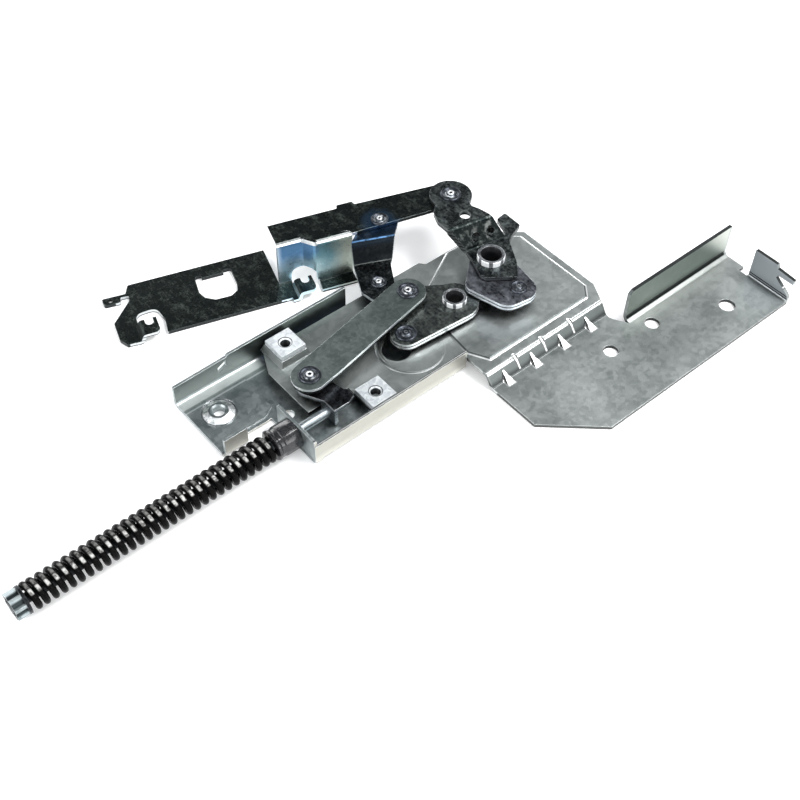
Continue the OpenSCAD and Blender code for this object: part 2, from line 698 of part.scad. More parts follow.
module door_arm() {
    mid = arm_t / 2;
    high = arm_plate_z + mid;
    color([0.13, 0.15, 0.16]) arm_frame() difference() {
        union() {
            difference() {
                union() {
                    layer(0, arm_t) strip_outline();
                    along_x(web_start, web_start + 20.5) polygon(sheet_outline(
                        [[strip_front, mid], [web_v, mid], [web_v, high], [plate_rear, high]],
                        arm_t, 2));
                    along_x(web_end - 14.5, web_end) polygon(sheet_outline(
                        [[strip_front, mid], [web_back_v, mid], [web_back_v, high],
                        [plate_rear, high]], arm_t, 2));
                    layer(mid, arm_plate_z + mid) polygon(sheet_outline(
                        [[web_start + 19.5, web_v], [web_start + 20.5, web_v],
                        [web_end - 14.5, web_back_v], [web_end - 13.5, web_back_v]], arm_t, 1.5));
                    layer(0, arm_t) polygon([[web_start + 20, strip_front], [web_end - 14, strip_front],
                        [web_end - 14, web_back_v - 3], [web_start + 20, web_v - 2.5]]);
                }
                for (u = [outer_lug_at, inner_lug_at]) lug_opening(u);
                lug_arch(inner_lug_at);
            }
            layer(arm_plate_z, arm_t) difference() {
                polygon(concat([[web_start + 1, web_v - mid + 2.5], [web_start, web_v - mid]],
                    eased([[-lever_head_r + 3, web_v - mid + 2], [-lever_head_r + 3, plate_rear - 4],
                        [-2, plate_rear - 1.4], [web_start - 9, plate_rear], [web_start - 8.5, plate_rear + 2.5],
                        [web_start + 0.5, plate_rear + 2.5], [web_start + 1, plate_rear],
                        [web_end, plate_rear]], 0.8),
                    [[web_end, web_back_v + 2.5], [web_end - 14.5, web_back_v + 2.5],
                        [web_end - 14.5, web_back_v], [web_start + 20.5, web_v],
                        [web_start + 20.5, web_v + 3]]));
            }
            lug(outer_lug_at);
            lug(inner_lug_at);
        }
        hole([0, 0], rivet_r + run_gap, arm_plate_z, arm_t);
        hole([eye_u, eye_v], rivet_r + fix_gap, arm_plate_z, arm_t);
        layer(-over, arm_t + 2 * over) {
            translate([window_at, 0]) difference() {
                polygon(rounded([[0, 20.3], [0, 8], [1.4, 2.4], [5.5, -0.2], [14, 0], [19, 3.4],
                    [20.8, 8], [20, 20.3]], 1.2));
                translate([4.5, 18.4]) square([12, 4]);
            }
        }
        hole([arm_len - 2, strip_rear - 8.1], 1.4, 0, arm_t);
    }
}
module guide_link_rivet() {
    color([0.35, 0.37, 0.4]) union() {
        translate([eye_at.x, eye_at.y, arm_plate_z]) cylinder(r = rivet_r, h = arm_t);
        rivet_head(eye_at, rivet_head_r - 0.9, arm_top, rivet_head_h);
    }
}

// Guide link: a strap with a step, and a round eye under the arm's plate
guide_dir = 61;
guide_fold = 65;
module guide_outline() {
    half = guide_w / 2;
    side = dir(guide_dir - 90);
    along = dir(guide_dir);
    toe = guide_at - 5.2 * along - side;
    polygon(concat(
        [for (a = [guide_dir - 97:12:guide_dir + 90]) eye_at + 9.8 * dir(a)],
        eased([toe + 26 * along - (half + 0.8) * side, toe + 20 * along - (half + 0.4) * side,
            toe - half * side, toe - half * 0.9 * along - half * 0.35 * side,
            toe - half * 0.9 * along + half * 0.35 * side, toe + half * side,
            toe + 18 * along + (half + 0.8) * side], 3)));
}
module guide_link() {
    step = 16.5;
    run = 5.5;
    low = guide_z + guide_t / 2;
    high = guide_high_z + guide_t / 2;
    color([0.16, 0.17, 0.18]) difference() {
        intersection() {
            layer(guide_z - over, 30) guide_outline();
            translate([guide_at.x, guide_at.y, 0]) rotate(guide_fold) along_y(-40, 40)
                polygon(sheet_outline([[-40, low], [step, low], [step + run, high], [60, high]],
                    guide_t, 2.2));
        }
        hole(guide_at, guide_rivet_r + run_gap, guide_z, guide_t);
        hole(eye_at, rivet_r + run_gap, guide_high_z, guide_t);
    }
}

module rocker_outline() {
    polygon(belt([[rocker_at, rocker_r + 0.8], [stud_at, 8]]));
    polygon(belt([[rocker_at, rocker_r], [tie_at, 8.5]]));
}
module rocker_ply(z) {
    difference() {
        layer(z, rocker_ply_t) rocker_outline();
        hole(rocker_at, rocker_barrel_r + run_gap, z, rocker_ply_t);
        hole(stud_at, rivet_r + fix_gap, z, rocker_ply_t);
        hole(tie_at, rivet_r + run_gap, z, rocker_ply_t);
    }
}
module rocker_upper() {
    color([0.24, 0.26, 0.26]) rocker_ply(rocker_z + rocker_ply_t);
}
module rocker_lower() {
    color([0.3, 0.32, 0.33]) rocker_ply(rocker_z);
}
module rocker_rivet() {
    color([0.35, 0.37, 0.4]) stack_rivet(stud_at, rocker_z, rocker_top, rivet_head_r, rivet_r);
}

module tie_link() {
    color([0.45, 0.48, 0.48]) difference() {
        layer(tie_z, tie_t) polygon(belt([[pull_at, tie_w / 2], [tie_at, tie_w / 2]]));
        hole(pull_at, rivet_r + run_gap, tie_z, tie_t);
        hole(tie_at, rivet_r + fix_gap, tie_z, tie_t);
    }
}
module rocker_link_rivet() {
    color([0.35, 0.37, 0.4]) union() {
        turned_at(tie_at) polygon([[0, rocker_top + layer_gap], [rivet_r + 0.8, rocker_top + layer_gap],
            [rivet_r + 0.8, tie_z], [rivet_r, tie_z], [rivet_r, tie_top], [0, tie_top]]);
        rivet_head(tie_at, rivet_head_r, tie_top, rivet_head_h);
    }
}

// Pull rod with its bracket, from the wall to the tie link
hook_lug_x = 38.5;
hook_z = rod_z + rod_r + 0.9;
rod_head_x = hook_lug_x + hook_t;
module pull_rod() {
    rod_left = spring_left - 7;
    color([0.7, 0.71, 0.72]) translate([0, rod_y, rod_z]) rotate([0, 90, 0]) union() {
        translate([0, 0, rod_left]) cylinder(r = rod_r, h = rod_head_x - rod_left);
        translate([0, 0, rod_head_x]) cylinder(r1 = rod_r + 0.7, r2 = rod_r + 0.2, h = 2.4);
    }
}
module hook_outline() {
    polygon(belt([[pull_at, 7.5], [[hook_lug_x + 6.5, rod_y + 2], 5.5]]));
    polygon(rounded([[hook_lug_x, rod_y + 8], [hook_lug_x, rod_y - 5.5], [hook_lug_x + 9, rod_y - 5.5],
        [hook_lug_x + 13.5, rod_y - 3.5], [hook_lug_x + 13.5, rod_y + 1], [hook_lug_x + 8, rod_y + 8]], 1));
}
module rod_hook() {
    color([0.12, 0.12, 0.13]) difference() {
        union() {
            layer(hook_z, hook_t) hook_outline();
            translate([hook_lug_x, rod_y - 5.5, 3.2]) cube([hook_t, 11, hook_z + hook_t - 3.2]);
        }
        translate([hook_lug_x - over, rod_y, rod_z]) rotate([0, 90, 0])
            cylinder(r = rod_r + fix_gap, h = hook_t + 2 * over);
        hole(pull_at, rivet_r + fix_gap, hook_z, hook_t);
    }
}
module rod_link_rivet() {
    z_seat = tie_z - slide_gap;
    color([0.35, 0.37, 0.4]) union() {
        turned_at(pull_at) polygon([[0, hook_z - 1.2], [rivet_head_r, hook_z - 1.2],
            [rivet_head_r, hook_z], [rivet_r, hook_z], [rivet_r, hook_z + hook_t],
            [rivet_head_r, hook_z + hook_t], [rivet_head_r, z_seat], [rivet_r, z_seat],
            [rivet_r, tie_top + slide_gap], [0, tie_top + slide_gap]]);
        rivet_head(pull_at, rivet_head_r, tie_top + slide_gap, rivet_head_h);
    }
}
module spring_washer() {
    color([0.68, 0.7, 0.71]) translate([spring_left, rod_y, rod_z]) rotate([0, -90, 0]) difference() {
        cylinder(r = spring_r - 0.3, h = 1.5);
        translate([0, 0, -over]) cylinder(r = rod_r + fix_gap, h = 1.5 + 2 * over);
    }
}
module rod_end_nut() {
    color([0.68, 0.7, 0.71]) translate([spring_left - 1.5, rod_y, rod_z]) rotate([0, -90, 0])
        difference() {
            cylinder(r = 5.6, h = 6.5);
            translate([0, 0, -over]) cylinder(r = rod_r + fix_gap, h = 6.5 + 2 * over);
            translate([0, 0, 5.4]) cylinder(r = 4.4, h = 3);
        }
}

// Helical spring with one closed turn at each end
module compression_spring() {
    steps = 12;
    sides = 6;
    coil_r = spring_r - wire_r;
    x_start = spring_left + wire_r;
    x_end = wall_x - sleeve_len - wire_r;
    closed_pitch = 2 * wire_r + 0.05;
    open_pitch = (x_end - x_start - 2 * closed_pitch) / (spring_turns - 2);
    function advance(t) = t < 1 ? t * closed_pitch
        : t > spring_turns - 1 ? x_end - x_start - (spring_turns - t) * closed_pitch
        : closed_pitch + (t - 1) * open_pitch;
    rings = spring_turns * steps;
    points = [for (i = [0:rings]) let (t = i / steps, a = 360 * t)
        for (k = [0:sides - 1]) let (b = 360 * k / sides, out = coil_r + wire_r * cos(b))
            [x_start + advance(t) + wire_r * sin(b), rod_y + out * cos(a), rod_z + out * sin(a)]];
    walls = [for (i = [0:rings - 1]) for (k = [0:sides - 1])
        [i * sides + k, i * sides + (k + 1) % sides,
            (i + 1) * sides + (k + 1) % sides, (i + 1) * sides + k]];
    start_cap = [for (k = [sides - 1:-1:0]) k];
    end_cap = [for (k = [0:sides - 1]) rings * sides + k];
    color([0.06, 0.06, 0.07]) polyhedron(points, concat(walls, [start_cap], [end_cap]), convexity = 6);
}

side_channel();
hinge_plate();
rear_nut();
front_nut();
lever_eyelet();
rocker_eyelet();
guide_pivot_rivet();
spring_sleeve();
main_lever();
lever_foot_upper();
lever_foot_lower();
foot_rivet();
arm_pivot_rivet();
door_arm();
guide_link_rivet();
guide_link();
rocker_upper();
rocker_lower();
rocker_rivet();
tie_link();
rocker_link_rivet();
pull_rod();
rod_hook();
rod_link_rivet();
spring_washer();
rod_end_nut();
compression_spring();
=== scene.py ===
import math
import bmesh
import bpy
from mathutils import Matrix, Vector


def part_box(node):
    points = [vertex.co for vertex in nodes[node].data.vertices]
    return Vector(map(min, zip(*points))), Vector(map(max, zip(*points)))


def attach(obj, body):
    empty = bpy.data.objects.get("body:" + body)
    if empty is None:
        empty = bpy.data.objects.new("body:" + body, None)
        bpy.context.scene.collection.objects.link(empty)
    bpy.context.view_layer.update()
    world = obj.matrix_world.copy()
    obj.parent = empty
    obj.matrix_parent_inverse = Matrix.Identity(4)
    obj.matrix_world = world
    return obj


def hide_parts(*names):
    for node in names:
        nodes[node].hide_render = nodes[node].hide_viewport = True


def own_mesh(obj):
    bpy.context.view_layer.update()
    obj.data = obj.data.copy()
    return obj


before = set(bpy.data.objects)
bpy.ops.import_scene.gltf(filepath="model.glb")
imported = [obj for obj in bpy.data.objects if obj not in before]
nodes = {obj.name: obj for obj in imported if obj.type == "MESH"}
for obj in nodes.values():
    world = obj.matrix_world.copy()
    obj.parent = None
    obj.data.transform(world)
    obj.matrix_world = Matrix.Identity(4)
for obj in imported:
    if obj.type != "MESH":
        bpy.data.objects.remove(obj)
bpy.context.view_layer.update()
MM = 0.001

# Viewpoint. The camera stands where the photograph was taken from: left of the channel's free end,
# looking down on the hinge at about 50 degrees.
TURN = math.radians(-41.02)
PITCH = math.radians(49.84)
ROLL = math.radians(1.23)


def add_camera():
    forward = Vector((-math.sin(TURN) * math.cos(PITCH), math.cos(TURN) * math.cos(PITCH), -math.sin(PITCH)))
    level = Vector((math.cos(TURN), math.sin(TURN), 0))
    up = level.cross(forward)
    right = level * math.cos(ROLL) + up * math.sin(ROLL)
    over = up * math.cos(ROLL) - level * math.sin(ROLL)
    place = Matrix((right, over, -forward)).transposed().to_4x4()
    place.translation = Vector((-0.1769, -0.3374, 0.4540))
    data = bpy.data.cameras.new("camera")
    data.lens = 54
    data.sensor_width = 36
    data.clip_start = 0.01
    camera = bpy.data.objects.new("camera", data)
    bpy.context.scene.collection.objects.link(camera)
    camera.matrix_world = place
    bpy.context.scene.camera = camera


add_camera()
bpy.context.scene.view_settings.view_transform = "Standard"


# Studio. Soft panels stand where the flat sheets, bends and pressed slopes of the hinge mirror them,
# in a pale room with one grey side that keeps the flat steel darker than its edges.
MIDDLE = (0.09, -0.02, 0.0)


def add_light(name, place, size, watts):
    data = bpy.data.lights.new(name, "AREA")
    data.shape = "RECTANGLE"
    data.size, data.size_y = size
    data.energy = watts
    lamp = bpy.data.objects.new(name, data)
    bpy.context.scene.collection.objects.link(lamp)
    lamp.location = place
    lamp.rotation_euler = (Vector(MIDDLE) - Vector(place)).to_track_quat("-Z", "Y").to_euler()


add_light("top_light", (0.5, -0.38, 0.95), (0.55, 0.4), 11)
add_light("left_light", (-0.95, 0.1, 0.6), (0.7, 0.5), 7)
add_light("rear_light", (0.1, 1.1, 0.4), (1.2, 0.3), 6)
add_light("front_light", (0.2, -1.1, 0.5), (0.9, 0.3), 4)
add_light("right_light", (1.0, 0.5, 0.24), (0.35, 0.25), 2.5)


class Looks:
    """Short calls that add linked shader nodes to one tree."""

    def __init__(self, tree):
        self.tree = tree

    def add(self, kind, settings=None, **inputs):
        node = self.tree.nodes.new("ShaderNode" + kind)
        for key, value in (settings or {}).items():
            setattr(node, key, value)
        for key, value in inputs.items():
            self.feed(node.inputs[key.replace("_", " ")], value)
        return node

    def feed(self, socket, value):
        if isinstance(value, bpy.types.NodeSocket):
            self.tree.links.new(value, socket)
        elif isinstance(value, bpy.types.Node):
            self.tree.links.new(value.outputs[0], socket)
        else:
            socket.default_value = value

    def math(self, operation, a, b=0.0, clamp=False):
        node = self.add("Math", {"operation": operation, "use_clamp": clamp})
        self.feed(node.inputs[0], a)
        self.feed(node.inputs[1], b)
        return node.outputs[0]

    def vector(self, operation, a, b=(0, 0, 0)):
        node = self.add("VectorMath", {"operation": operation})
        self.feed(node.inputs[0], a)
        self.feed(node.inputs[1], b)
        return node.outputs["Value" if operation in ("DOT_PRODUCT", "LENGTH") else "Vector"]

    def times(self, *factors):
        result = factors[0]
        for factor in factors[1:]:
            result = self.math("MULTIPLY", result, factor)
        return result

    def total(self, *parts):
        result = parts[0]
        for part in parts[1:]:
            result = self.math("ADD", result, part)
        return result

    def mix(self, share, a, b, blend="MIX"):
        node = self.add("Mix", {"data_type": "RGBA", "blend_type": blend})
        self.feed(node.inputs[0], share)
        self.feed(node.inputs[6], a)
        self.feed(node.inputs[7], b)
        return node.outputs[2]

    def ramp(self, value, low, high, out_low=0.0, out_high=1.0):
        node = self.add("MapRange", {"interpolation_type": "SMOOTHSTEP"})
        for index, item in enumerate((value, low, high, out_low, out_high)):
            self.feed(node.inputs[index], item)
        return node.outputs[0]

    def between(self, value, low, high, soft):
        """1 inside low to high, fading to 0 over soft on both sides."""
        return self.times(self.ramp(value, low - soft, low), self.ramp(value, high + soft, high))

    def noise(self, place, scale, detail=3.0, rough=0.55, distortion=0.0):
        return self.add("TexNoise", Vector=place, Scale=scale, Detail=detail, Roughness=rough,
                        Distortion=distortion).outputs["Fac"]

    def place(self):
        return self.add("TexCoord").outputs["Object"]

    def place_parts(self):
        """X, Y and Z of the point in millimetres."""
        parts = self.add("SeparateXYZ", Vector=self.vector("MULTIPLY", self.place(), (1000, 1000, 1000)))
        return parts.outputs["X"], parts.outputs["Y"], parts.outputs["Z"]

    def face(self):
        """The facet's direction, as X, Y and Z."""
        parts = self.add("SeparateXYZ", Vector=self.add("NewGeometry").outputs["True Normal"])
        return parts.outputs["X"], parts.outputs["Y"], parts.outputs["Z"]

    def call(self, tree, **inputs):
        return self.add("Group", {"node_tree": tree}, **inputs).outputs


def add_world():
    world = bpy.data.worlds.new("world")
    bpy.context.scene.world = world
    world.use_nodes = True
    b = Looks(world.node_tree)
    facing = b.vector("DOT_PRODUCT", b.add("TexCoord").outputs["Generated"], (0.43, 0.5, 0.75))
    color = b.mix(b.ramp(facing, 0.35, 0.92), (0.9, 0.93, 0.95, 1), (0.2, 0.22, 0.23, 1))
    background = world.node_tree.nodes["Background"]
    b.feed(background.inputs["Color"], color)
    background.inputs["Strength"].default_value = 0.75


add_world()


# Side channel: galvanised sheet, pressed up along three sides, with a drawn screw collar in its floor.
# Its front flange has a creamy passivated outer face; where the floor runs into the rear flange, bright highlight lines
# are painted on it.
def group(name, inputs, outputs):
    tree = bpy.data.node_groups.new(name, "ShaderNodeTree")
    for label, kind, value in inputs:
        socket = tree.interface.new_socket(label, in_out="INPUT", socket_type="NodeSocket" + kind)
        socket.default_value = value
    for label, kind in outputs:
        tree.interface.new_socket(label, in_out="OUTPUT", socket_type="NodeSocket" + kind)
    return tree, tree.nodes.new("NodeGroupInput").outputs, tree.nodes.new("NodeGroupOutput").inputs


def make_edge_wear():
    tree, given, result = group("edge_wear", [("Radius", "Float", 0.0004), ("Wear", "Float", 0.7)],
                                [("Mask", "Float"), ("Normal", "Vector")])
    b = Looks(tree)
    round_normal = b.add("Bevel", {"samples": 6}, Radius=given["Radius"]).outputs[0]
    flat_normal = b.add("NewGeometry").outputs["Normal"]
    bend = b.math("SUBTRACT", 1.0, b.vector("DOT_PRODUCT", round_normal, flat_normal))
    chips = b.ramp(b.noise(b.place(), 260.0, 4.0, 0.65), 0.3, 0.62, 0.25, 1.0)
    edge = b.ramp(bend, 0.012, 0.16)
    b.feed(result["Mask"], b.math("MULTIPLY", b.math("MULTIPLY", edge, chips), given["Wear"], True))
    b.feed(result["Normal"], round_normal)
    return tree


def make_painted_corner_shade():
    """Painted shade, in patches, in corners and under the edges of the plates above, where ambient occlusion finds
    little open sky.
    """
    tree, given, result = group("painted_corner_shade", [("Reach", "Float", 0.003), ("Amount", "Float", 0.7),
                                                 ("Full", "Float", 0.12)], [("Mask", "Float")])
    b = Looks(tree)
    open_sky = b.add("AmbientOcclusion", {"samples": 8}, Distance=given["Reach"]).outputs["AO"]
    patches = b.ramp(b.noise(b.place(), 330.0, 3.0, 0.6), 0.2, 0.6, 0.7, 1.0)
    b.feed(result["Mask"], b.math("MULTIPLY", b.times(b.ramp(open_sky, 0.72, given["Full"]), patches), given["Amount"], True))
    return tree


def make_zinc():
    tree, given, result = group(
        "galvanised", [("Light", "Color", (0.5, 0.52, 0.54, 1)), ("Dark", "Color", (0.3, 0.33, 0.35, 1)),
                       ("Cells", "Float", 420.0), ("Spangle", "Float", 0.3), ("Cloud", "Float", 1.1)],
        [("Color", "Color"), ("Rough", "Float"), ("Height", "Float")])
    b = Looks(tree)
    place = b.place()
    shove = b.vector("SUBTRACT", b.add("TexNoise", Vector=place, Scale=300.0).outputs["Color"], (0.5, 0.5, 0.5))
    warped = b.vector("ADD", place, b.vector("MULTIPLY", shove, (0.003, 0.003, 0.003)))
    cells = b.add("TexVoronoi", Vector=warped, Scale=given["Cells"]).outputs["Color"]
    flake = b.times(b.math("SUBTRACT", b.add("SeparateColor", Color=cells).outputs[0], 0.5), given["Spangle"])
    cloud = b.math("SUBTRACT", b.noise(place, 38.0, 5.0, 0.62), 0.5)
    grain = b.math("SUBTRACT", b.noise(place, 1900.0, 3.0, 0.7), 0.5)
    streak = b.math("SUBTRACT", b.noise(b.vector("MULTIPLY", place, (14.0, 620.0, 160.0)), 1.0, 3.0, 0.6), 0.5)
    tone = b.total(1.0, b.times(cloud, given["Cloud"]), b.times(grain, 0.5), flake, b.times(streak, 0.4))
    b.feed(result["Color"], b.mix(b.ramp(tone, 0.62, 1.38), given["Dark"], given["Light"]))
    b.feed(result["Rough"], b.total(0.35, b.times(flake, 0.2), b.times(cloud, 0.22)))
    b.feed(result["Height"], b.total(0.5, b.times(grain, 0.5), b.times(cloud, 0.6)))
    return tree


EDGE_WEAR = make_edge_wear()
PAINTED_CORNER_SHADE = make_painted_corner_shade()
ZINC = make_zinc()


def steel(name, skin, metallic=1.0, edge_color=(0.86, 0.88, 0.9, 1), wear=0.7, radius=0.0004, bump=0.12,
          painted_shade_amount=0.6, reach=0.003, full=0.12, gloss=0.08, specular=0.5, paint=None, **looks):
    """A worn skin: a shared group gives colour, roughness and height; edges wear bright, corners and undersides are
    painted dark as shade.
    """
    mat = bpy.data.materials.new(name)
    mat.use_nodes = True
    mat.node_tree.nodes.clear()
    b = Looks(mat.node_tree)
    out = b.add("OutputMaterial")
    shader = b.add("BsdfPrincipled")
    skin_out = b.call(skin, **looks)
    worn = b.call(EDGE_WEAR, Radius=radius, Wear=wear)
    painted_shade_mask = b.call(PAINTED_CORNER_SHADE, Reach=reach, Amount=painted_shade_amount, Full=full)["Mask"]
    color = skin_out["Color"]
    if paint:
        color = paint(b, color)
    color = b.mix(worn["Mask"], color, edge_color(b) if callable(edge_color) else edge_color)
    # Painted shade: the ambient-occlusion mask darkens the colour towards near black.
    b.feed(shader.inputs["Base Color"], b.mix(painted_shade_mask, color, (0.012, 0.013, 0.015, 1)))
    rough = b.math("SUBTRACT", b.math("ADD", skin_out["Rough"], gloss), b.times(worn["Mask"], 0.1), True)
    b.feed(shader.inputs["Roughness"], rough)
    normal = b.add("Bump", Strength=bump, Distance=0.0002, Height=skin_out["Height"], Normal=worn["Normal"])
    b.feed(shader.inputs["Normal"], normal)
    shader.inputs["Metallic"].default_value = metallic
    shader.inputs["Specular IOR Level"].default_value = specular
    b.feed(out.inputs["Surface"], shader)
    return mat


def dress(mat, *names):
    for name in names:
        part = nodes[name]
        if not part.material_slots:
            part.data.materials.append(mat)
        for place in part.material_slots:
            place.material = mat


def channel_paint(b, color):
    x, y, z = b.place_parts()
    face_y, face_z = b.face()[1:]
    outside = b.times(b.ramp(face_y, -0.6, -0.9), b.ramp(y, -17.0, -18.0))
    smear = b.noise(b.vector("MULTIPLY", b.place(), (60.0, 60.0, 260.0)), 1.0, 3.0, 0.6)
    cream = b.mix(b.ramp(b.total(z, b.times(smear, 8.0)), 4.0, 10.5), (0.6, 0.592, 0.545, 1), (0.43, 0.425, 0.385, 1))
    color = b.mix(outside, color, cream)
    # The inner face of the rear flange is painted dark, darkest towards its left end.
    inside = b.times(b.ramp(face_y, -0.6, -0.9), b.ramp(y, 10.0, 12.0), b.ramp(z, 2.0, 3.5))
    painted_dark = b.mix(b.ramp(x, 15.0, 50.0), (0.085, 0.1, 0.093, 1), (0.15, 0.18, 0.165, 1))
    color = b.mix(b.times(inside, 0.9), color, painted_dark)
    # Painted shade and highlight on the front flange's top: a dark line as the shade of the gap, the rest painted
    # bright as a highlight.
    level = b.ramp(face_z, 0.6, 0.9)
    lip = b.times(level, b.ramp(z, 5.5, 6.0), b.ramp(y, -52.0, -52.4))
    color = b.mix(lip, color, b.mix(b.between(y, -53.45, -52.95, 0.1), (0.05, 0.05, 0.05, 1), (0.95, 0.96, 0.95, 1)))
    # Painted highlights: two bright lines on the floor where it runs into the rear flange.
    floor = b.times(level, b.ramp(z, 5.0, 4.0))
    band = b.times(floor, b.ramp(y, 11.2, 12.6), b.ramp(x, 40.0, 34.0))
    color = b.mix(b.times(band, 0.9), color, (0.95, 0.97, 0.97, 1))
    color = b.mix(b.times(floor, b.between(y, 8.9, 9.6, 0.3), b.ramp(x, 38.0, 30.0), 0.7), color, (0.9, 0.93, 0.94, 1))
    blue = b.times(floor, b.ramp(y, 6.0, 14.0), b.ramp(x, 33.0, 40.0))
    color = b.mix(b.times(blue, 0.85), color, (0.03, 0.06, 0.16, 1))
    # Painted highlight: the sloped rim round the collar is painted near white in lobes.
    from_collar = b.vector("LENGTH", b.vector("MULTIPLY", b.place(), (1000, 1000, 0)))
    lobes = b.ramp(b.noise(b.place(), 420.0, 2.0, 0.5), 0.38, 0.55, 0.25, 1.0)
    rim = b.times(b.between(from_collar, 4.4, 8.4, 0.5), b.ramp(face_z, 0.985, 0.93), lobes)
    return b.mix(rim, color, (0.97, 0.98, 0.98, 1))


dress(steel("channel_steel", ZINC, paint=channel_paint, Light=(0.46, 0.5, 0.5, 1), Dark=(0.24, 0.28, 0.29, 1),
            wear=0.6, Cloud=0.8), "side_channel")


# Hinge plate: one pressed galvanised sheet with a raised panel, a stepped wing, its rear flange and end tab.
# Bends, creases, gussets and pressed crests are painted with highlights and the slopes with shade; the sheared rims
# and the wing flange's top are painted dark, and the wing's floor is painted with the reflection of its flange.
JOGGLE_FRONT, JOGGLE_REAR = -76.4, -65.4
GUSSETS = (123.5, 142.5, 162.5, 182.0)
CREASES = (133.3, 152.1, 172.2)


def plate_paint(b, color):
    x, y, z = b.place_parts()
    face_x, face_y, face_z = b.face()
    level = b.ramp(face_z, 0.6, 0.9)
    upright = b.ramp(b.math("ABSOLUTE", face_z), 0.5, 0.3)
    sloped = b.ramp(face_z, 0.992, 0.97)
    # Painted dark: the plate's low cut rims, as the dark reflection they show.
    color = b.mix(b.times(upright, b.ramp(z, 1.75, 1.55), 0.85), color, (0.1, 0.1, 0.095, 1))
    # Painted shadow: a black band on the upright rim along the raised panel's left edge.
    left_rim = b.times(upright, b.ramp(x, 62.0, 58.0), b.between(z, 5.4, 7.4, 0.1))
    color = b.mix(b.times(left_rim, 0.9), color, (0.02, 0.022, 0.024, 1))
    # Painted shade on the joggle's slope, darker towards its foot.
    step = b.between(y, JOGGLE_FRONT, JOGGLE_REAR, 0.2)
    slope = b.times(step, sloped)
    shade = b.mix(b.ramp(z, 2.0, 5.0), (0.06, 0.065, 0.065, 1), (0.2, 0.22, 0.215, 1))
    color = b.mix(slope, color, shade)
    # Painted highlights: a white band on the joggle's upper bend and a white line at its lower bend.
    upper_bend = b.times(b.ramp(z, 4.6, 4.9), b.between(face_z, 0.76, 0.925, 0.02))
    color = b.mix(b.times(slope, upper_bend, 0.94), color, (0.95, 0.965, 0.955, 1))
    color = b.mix(b.times(slope, b.ramp(z, 2.0, 1.7)), color, (0.9, 0.92, 0.92, 1))
    # Painted shade and highlight at each crease: a dark patch on the upper bend and a white line across it.
    for crease in CREASES:
        near = b.times(b.between(x, crease - 1.7, crease + 1.3, 0.1), slope, b.ramp(z, 4.6, 4.9))
        color = b.mix(near, color, (0.2, 0.21, 0.21, 1))
        line = b.times(b.between(x, crease - 0.45, crease + 0.45, 0.15), b.between(y, -72.6, -66.4, 0.2))
        color = b.mix(line, color, (0.97, 0.98, 0.97, 1))
    # Painted highlight: a white wedge on each gusset.
    for gusset in GUSSETS:
        away = b.math("ABSOLUTE", b.math("SUBTRACT", x, gusset))
        wedge = b.times(b.ramp(b.total(away, b.times(z, 0.85)), 4.7, 4.3), b.between(y, -77.8, -68.0, 0.2))
        color = b.mix(wedge, color, (0.97, 0.98, 0.97, 1))
    # Painted shade on the raised panel's slopes, and a painted highlight on their crest, brighter at the right and near
    # the front-left corner.
    pressed = b.times(b.ramp(z, 7.5, 7.6), sloped, b.ramp(face_z, 0.3, 0.45))
    color = b.mix(pressed, color, (0.14, 0.155, 0.155, 1))
    crest = b.times(pressed, b.between(z, 7.83, 8.3, 0.04))
    wear_and_highlight = b.math("MAXIMUM", b.ramp(x, 142.0, 160.0), b.times(b.ramp(x, 112.0, 118.0), b.ramp(y, -40.0, -55.0)))
    color = b.mix(b.times(crest, b.total(0.3, b.times(wear_and_highlight, 0.65))), color, (0.95, 0.96, 0.96, 1))
    # Painted reflection: the wing's floor is painted light next to its flange, as the flange's reflection.
    wing = b.times(level, b.ramp(z, 4.0, 3.0), b.ramp(x, 196.0, 204.0))
    painted_flange_reflection = b.times(wing, b.ramp(y, -101.0, -83.0), b.ramp(x, 285.0, 215.0, 0.75, 1.0))
    color = b.mix(b.times(painted_flange_reflection, painted_flange_reflection, 0.9), color, (0.72, 0.745, 0.72, 1))
    # The wing flange's face is painted black near its foot as shade, and lighter towards the end tab and its top.
    flange = b.times(b.ramp(face_y, -0.2, -0.5), b.between(x, 200.0, 278.0, 1.0), b.ramp(y, -95.0, -90.0))
    inner = b.mix(b.ramp(b.total(x, b.times(z, 1.2)), 276.0, 298.0), (0.155, 0.185, 0.165, 1), (0.5, 0.53, 0.49, 1))
    inner = b.mix(b.ramp(z, 5.6, 4.6), inner, (0.02, 0.024, 0.022, 1))
    color = b.mix(b.times(flange, b.ramp(z, 2.6, 3.2)), color, inner)
    tab = b.times(b.ramp(face_x, -0.6, -0.9), b.ramp(x, 270.0, 274.0), b.ramp(z, 2.0, 3.0))
    tab_lines = b.math("MAXIMUM", b.between(z, 2.6, 3.4, 0.1), b.between(z, 4.3, 4.9, 0.1))
    color = b.mix(tab, color, b.mix(tab_lines, (0.44, 0.46, 0.49, 1), (0.06, 0.065, 0.075, 1)))
    # Painted dark: the top of the wing's flange, as the dark reflection it shows.
    top_rim = b.times(b.ramp(z, 9.0, 11.0), level, b.ramp(y, -78.0, -79.0))
    return b.mix(top_rim, color, (0.05, 0.055, 0.055, 1))


def plate_edges(b):
    """Bright worn edges, but round the wing's flange and end tab the edges are painted dark, as the dark reflection
    they show.
    """
    y, z = b.place_parts()[1:]
    painted_dark = b.times(b.ramp(y, -78.0, -79.0), b.ramp(z, 2.5, 3.5))
    return b.mix(painted_dark, (0.8, 0.82, 0.83, 1), (0.03, 0.033, 0.033, 1))


